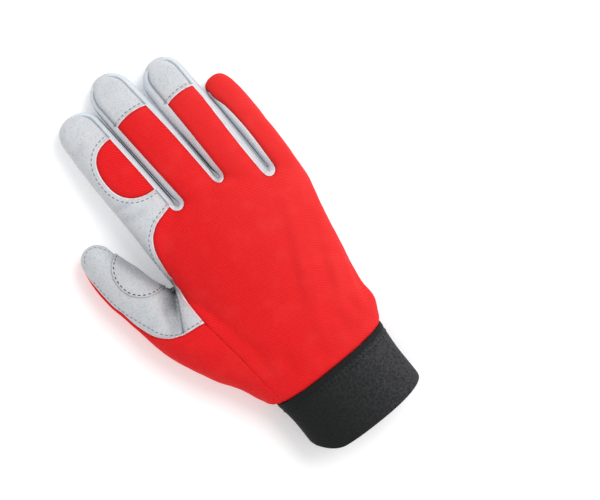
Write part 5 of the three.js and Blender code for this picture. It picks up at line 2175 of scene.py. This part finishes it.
@dataclass(frozen=True)
class ClothFinish:
    """Finish of a cloth: its surface effect, the effect's values and the bump it takes.

    Values come in the order of the effect's labels. Depth is the bump's height in
    millimetres. The seam is darkened with painted shade and the edge is tinted, each by an amount from 0 to
    1.
    """

    name: str
    effect: str
    values: tuple[Steps | float, ...]
    bump: float
    depth: float
    specular: float
    sheen: float = 0.0
    seam: Steps = (0, 0, 0)
    seam_amount: float = 0.0
    edge: Steps = (0, 0, 0)
    edge_amount: float = 0.0

    def build(self, effects: Effects) -> bpy.types.Material:
        """Makes the material.

        Args:
            effects: Shared node groups.

        Returns:
            The material.
        """
        material = bpy.data.materials.new(self.name)
        material.use_nodes = True
        graph = Graph(material.node_tree)
        shader = material.node_tree.nodes["Principled BSDF"]
        surface = graph.add("ShaderNodeGroup", node_tree=getattr(effects, self.effect))
        for label, value in zip(LABELS[self.effect], self.values):
            surface.inputs[label].default_value = value if isinstance(value, float) else linear(*value)
        seams = graph.add("ShaderNodeGroup", node_tree=effects.seams)
        seams.inputs["Seam colour"].default_value = linear(*self.seam)
        seams.inputs["Edge colour"].default_value = linear(*self.edge)
        seams.inputs["Seam amount"].default_value = self.seam_amount
        seams.inputs["Edge amount"].default_value = self.edge_amount
        links = material.node_tree.links
        links.new(surface.outputs["Colour"], seams.inputs["Cloth colour"])
        links.new(seams.outputs["Colour"], shader.inputs["Base Color"])
        links.new(surface.outputs["Roughness"], shader.inputs["Roughness"])
        bump = graph.add("ShaderNodeBump", {"Strength": self.bump, "Distance": self.depth * MILLIMETRE})
        links.new(surface.outputs["Height"], bump.inputs["Height"])
        links.new(bump.outputs["Normal"], shader.inputs["Normal"])
        shader.inputs["Sheen Weight"].default_value = self.sheen
        shader.inputs["Sheen Roughness"].default_value = 0.6
        shader.inputs["Specular IOR Level"].default_value = self.specular
        return material


def thread_finish(name: str, rib: Steps, valley: Steps, faded_and_lit: Steps) -> ClothFinish:
    """Finish of a sewing thread in three tones."""
    return ClothFinish(name, "knit", (rib, valley, faded_and_lit, 0.4), bump=0.3, depth=0.05, specular=0.3)


FINISHES = (
    ClothFinish(
        "red_knit",
        "knit",
        ((238, 36, 38), (214, 20, 26), (238, 60, 58), 1.15),
        bump=0.5,
        depth=0.25,
        specular=0.15,
        seam=(176, 12, 18),
        seam_amount=0.5,
        edge=(205, 20, 26),
        edge_amount=0.5,
    ),
    ClothFinish(
        "grey_suede",
        "suede",
        ((206, 209, 213), (172, 176, 183), (215, 217, 220), (184, 188, 195), (92, 95, 100), 0.45),
        bump=0.35,
        depth=0.15,
        specular=0.2,
        sheen=0.1,
        seam=(120, 126, 134),
        seam_amount=0.75,
        edge=(244, 246, 249),
        edge_amount=0.9,
    ),
    # The near-black shade colour paints the shade deep in the slits.
    ClothFinish(
        "side_suede",
        "suede",
        ((214, 221, 228), (194, 204, 214), (224, 229, 234), (196, 203, 211), (8, 10, 13), 0.45),
        bump=0.3,
        depth=0.12,
        specular=0.2,
        sheen=0.1,
        seam=(150, 158, 166),
        seam_amount=0.7,
        edge=(248, 249, 251),
        edge_amount=0.9,
    ),
    ClothFinish(
        "black_elastic",
        "weave",
        ((26, 28, 26), (7, 9, 8), (61, 61, 64), 1.1),
        bump=0.5,
        depth=0.2,
        specular=0.2,
    ),
    ClothFinish(
        "black_binding",
        "weave",
        ((11, 15, 16), (6, 8, 9), (24, 29, 31), 0.8),
        bump=0.4,
        depth=0.15,
        specular=0.3,
    ),
    ClothFinish(
        "satin_rim",
        "weave",
        ((54, 54, 52), (44, 44, 43), (66, 66, 64), 0.5),
        bump=0.15,
        depth=0.05,
        specular=0.6,
    ),
    ClothFinish(
        "moulded_face",
        "suede",
        ((50, 52, 48), (44, 46, 43), (54, 55, 52), (50, 52, 48), (30, 32, 30), 0.3),
        bump=0.1,
        depth=0.05,
        specular=0.5,
    ),
    thread_finish("grey_thread", (132, 144, 156), (92, 104, 116), (150, 160, 170)),
    thread_finish("dark_thread", (84, 88, 94), (58, 60, 66), (98, 100, 106)),
    thread_finish("black_thread", (20, 22, 22), (10, 11, 11), (26, 28, 28)),
)


class Studio:
    """Pale floor, soft light and the camera."""

    frame_middle = (70.45, 98.6)
    frame_width = 348.8
    turn = 39.0
    distance = 1.9
    sensor = 36.0
    camera_base = 0.02
    floor_size = 6.0
    floor_level = -0.0002
    floor_glow = 0.22
    surround = 0.72
    lamp_strength = 1.35
    lamp_angle = 0.55
    lamp_from = (0.57, 0.06, 0.82)

    def __init__(self, placer: Placer) -> None:
        """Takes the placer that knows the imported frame."""
        self.placer = placer

    def floor(self) -> None:
        """Adds the pale floor."""
        bm = bmesh.new()
        bmesh.ops.create_grid(bm, x_segments=1, y_segments=1, size=self.floor_size)
        bmesh.ops.translate(bm, verts=bm.verts[:], vec=(0.0, 0.0, self.floor_level))
        mesh = bpy.data.meshes.new("floor")
        bm.to_mesh(mesh)
        bm.free()
        material = bpy.data.materials.new("floor")
        material.use_nodes = True
        shader = material.node_tree.nodes["Principled BSDF"]
        shader.inputs["Base Color"].default_value = (0.96, 0.96, 0.965, 1.0)
        shader.inputs["Roughness"].default_value = 0.95
        shader.inputs["Specular IOR Level"].default_value = 0.0
        shader.inputs["Emission Color"].default_value = WHITE
        shader.inputs["Emission Strength"].default_value = self.floor_glow
        mesh.materials.append(material)
        floor = bpy.data.objects.new("floor", mesh)
        bpy.context.scene.collection.objects.link(floor)

    def lights(self) -> None:
        """Adds an even surround and one soft lamp over the little finger's side."""
        scene = bpy.context.scene
        world = bpy.data.worlds.new("surround")
        world.use_nodes = True
        background = world.node_tree.nodes["Background"]
        background.inputs["Color"].default_value = WHITE
        background.inputs["Strength"].default_value = self.surround
        scene.world = world
        lamp = bpy.data.lights.new("key", "SUN")
        lamp.energy = self.lamp_strength
        lamp.angle = self.lamp_angle
        key = bpy.data.objects.new("key", lamp)
        direction = Vector(self.lamp_from).normalized()
        key.rotation_euler = direction.to_track_quat("Z", "Y").to_euler()
        scene.collection.objects.link(key)
        scene.view_settings.view_transform = "Standard"

    def camera(self) -> None:
        """Adds the camera straight above the glove."""
        lens = bpy.data.cameras.new("camera")
        lens.sensor_width = self.sensor
        lens.lens = self.sensor * self.distance / (self.frame_width * MILLIMETRE)
        camera = bpy.data.objects.new("camera", lens)
        above = Vector((0.0, 0.0, self.distance + self.camera_base))
        camera.location = self.placer.point((*self.frame_middle, 0.0)) + above
        camera.rotation_euler = (0.0, 0.0, math.radians(-self.turn))
        bpy.context.scene.collection.objects.link(camera)
        bpy.context.scene.camera = camera


class Glove:
    """The whole glove, built piece by piece."""

    wall = {Cloth.KNIT: 1.1, Cloth.LEATHER: 1.3}
    patch_wall = 0.75
    patch_lift = (0.05, 0.12)
    arc_start = 133.0
    cuff_rows = (4.2, 6.3)
    patch_thread = Thread(thickness=0.75, sink=-0.7)
    cuff_thread = Thread(length=1.3, pitch=2.6, thickness=0.6)
    tab_thread = Thread(length=1.7, pitch=2.0, thickness=0.7)

    def __init__(self, placer: Placer) -> None:
        """Makes the finishes."""
        self.placer = placer
        effects = Effects()
        self.finish = {finish.name: finish.build(effects) for finish in FINISHES}

    def build(self) -> None:
        """Builds every sub-assembly."""
        panels = panel_list()
        tailor = Tailor(GloveForm().build())
        tailor.cut_cuff_seam()
        for number, panel in enumerate(panels, start=1):
            if panel.region:
                tailor.cut(number, panel.region.distance)
        tailor.shape_seams(panels)
        self.hand(tailor, panels)
        self.patch(tailor, panels)
        self.cuff()
        self.tab()
        self.stitches(tailor)

    def hand(self, tailor: Tailor, panels: Sequence[Panel]) -> None:
        """Makes one piece for each panel of the hand."""
        for number, panel in enumerate(panels, start=1):
            mark = number if panel.region else Tailor.rest
            knit = panel.cloth is Cloth.KNIT
            suede = "side_suede" if panel.name.startswith("fourchette") else "grey_suede"
            self.placer.piece(
                panel.name + "_cloth",
                tailor.panel(mark),
                self.finish["red_knit" if knit else suede],
                "knit" if knit else "leather",
                (panel.name,),
                self.wall[panel.cloth],
            )

    def patch(self, tailor: Tailor, panels: Sequence[Panel]) -> None:
        """Makes the patch from the thumb's skin."""
        names = [panel.name for panel in panels]
        cover = tailor.panel(names.index("thumb_front") + 1)
        patcher = Tailor.on_panel(cover)
        patcher.cut(-1, Seams().patch().distance)
        mark = patcher.mark
        others = [face for face in cover.faces if face[mark] != -1]
        bmesh.ops.delete(cover, geom=others, context="FACES")
        cover.normal_update()
        at_edge, inside = self.patch_lift
        for vertex in cover.verts:
            vertex.co += vertex.normal * (at_edge if vertex.is_boundary else inside)
        grey = self.finish["grey_suede"]
        self.placer.piece("thumb_patch_cloth", cover, grey, "leather", ("thumb_patch",), self.patch_wall, 1.0)

    def cuff(self) -> None:
        """Makes the cuff and its binding."""
        cuff = Cuff()
        black, binding = self.finish["black_elastic"], self.finish["black_binding"]
        self.placer.piece("cuff", cuff.band(), black, "elastic", ("cuff_band",))
        self.placer.piece("cuff_edge_binding", cuff.binding(Tab()), binding, "elastic", ("cuff_binding",))

    def tab(self) -> None:
        """Makes the closure tab."""
        tab = Tab()
        black, rim = self.finish["black_elastic"], self.finish["satin_rim"]
        self.placer.piece("tab_base", tab.base(), black, "elastic", ("closure_tab",))
        self.placer.piece("tab_face", tab.face(), self.finish["moulded_face"], "moulded", ("tab_panel",))
        self.placer.piece("tab_edge", tab.rim(), rim, "elastic", ("tab_rim",))
        self.placer.piece("tab_root", tab.root_strip(), rim, "elastic", ("tab_root_strip",))

    def stitches(self, tailor: Tailor) -> None:
        """Sews the visible rows of stitches."""
        seams = Seams()
        grey = Stitcher(tailor.skin, Thread())
        grey.on_plan(seams.window_line(2.6), FloorSide.BACK)
        arc = [point for point in seams.knuckle_arc() if point[1] > self.arc_start]
        grey.on_plan(shifted(arc, 2.2), FloorSide.BACK)
        for index in (1, 2):
            grey.on_plan(shifted(seams.cap_line(index, 0.84), 1.9), FloorSide.BACK)
            grey.on_plan(seams.palm_cap_line(index), FloorSide.PALM)
        notch = [SIZES.on_palm(*seams.notch_tip), SIZES.on_palm(*seams.notch_foot)]
        grey.on_plan(shifted(notch, -1.6), FloorSide.BACK)
        grey.on_plan(seams.rounded(seams.thumb_stitches), FloorSide.BACK)
        grey.on_plan(seams.rounded(seams.thumb_tip_stitches), FloorSide.BACK)
        self.placer.piece("grey_stitches", grey.bm, self.finish["grey_thread"], "leather")
        dark = Stitcher(tailor.skin, self.patch_thread)
        dark.on_plan(shifted(seams.patch_line(), 1.1), FloorSide.BACK)
        self.placer.piece("patch_stitches", dark.bm, self.finish["dark_thread"], "leather")
        cuff = Cuff()
        band = cuff.band()
        black = Stitcher(band, self.cuff_thread)
        for below in self.cuff_rows:
            black.on_line(cuff.stitch_line(below))
        black.thread = self.tab_thread
        for line in Tab().stitch_lines():
            black.on_line(line)
        band.free()
        self.placer.piece("cuff_stitches", black.bm, self.finish["black_thread"], "elastic")


def main() -> None:
    """Builds the glove and its surroundings."""
    logging.basicConfig(level=logging.INFO, format="%(name)s: %(message)s")
    placer = Placer()
    studio = Studio(placer)
    studio.floor()
    studio.lights()
    studio.camera()
    Glove(placer).build()


if __name__ == "__main__":
    main()
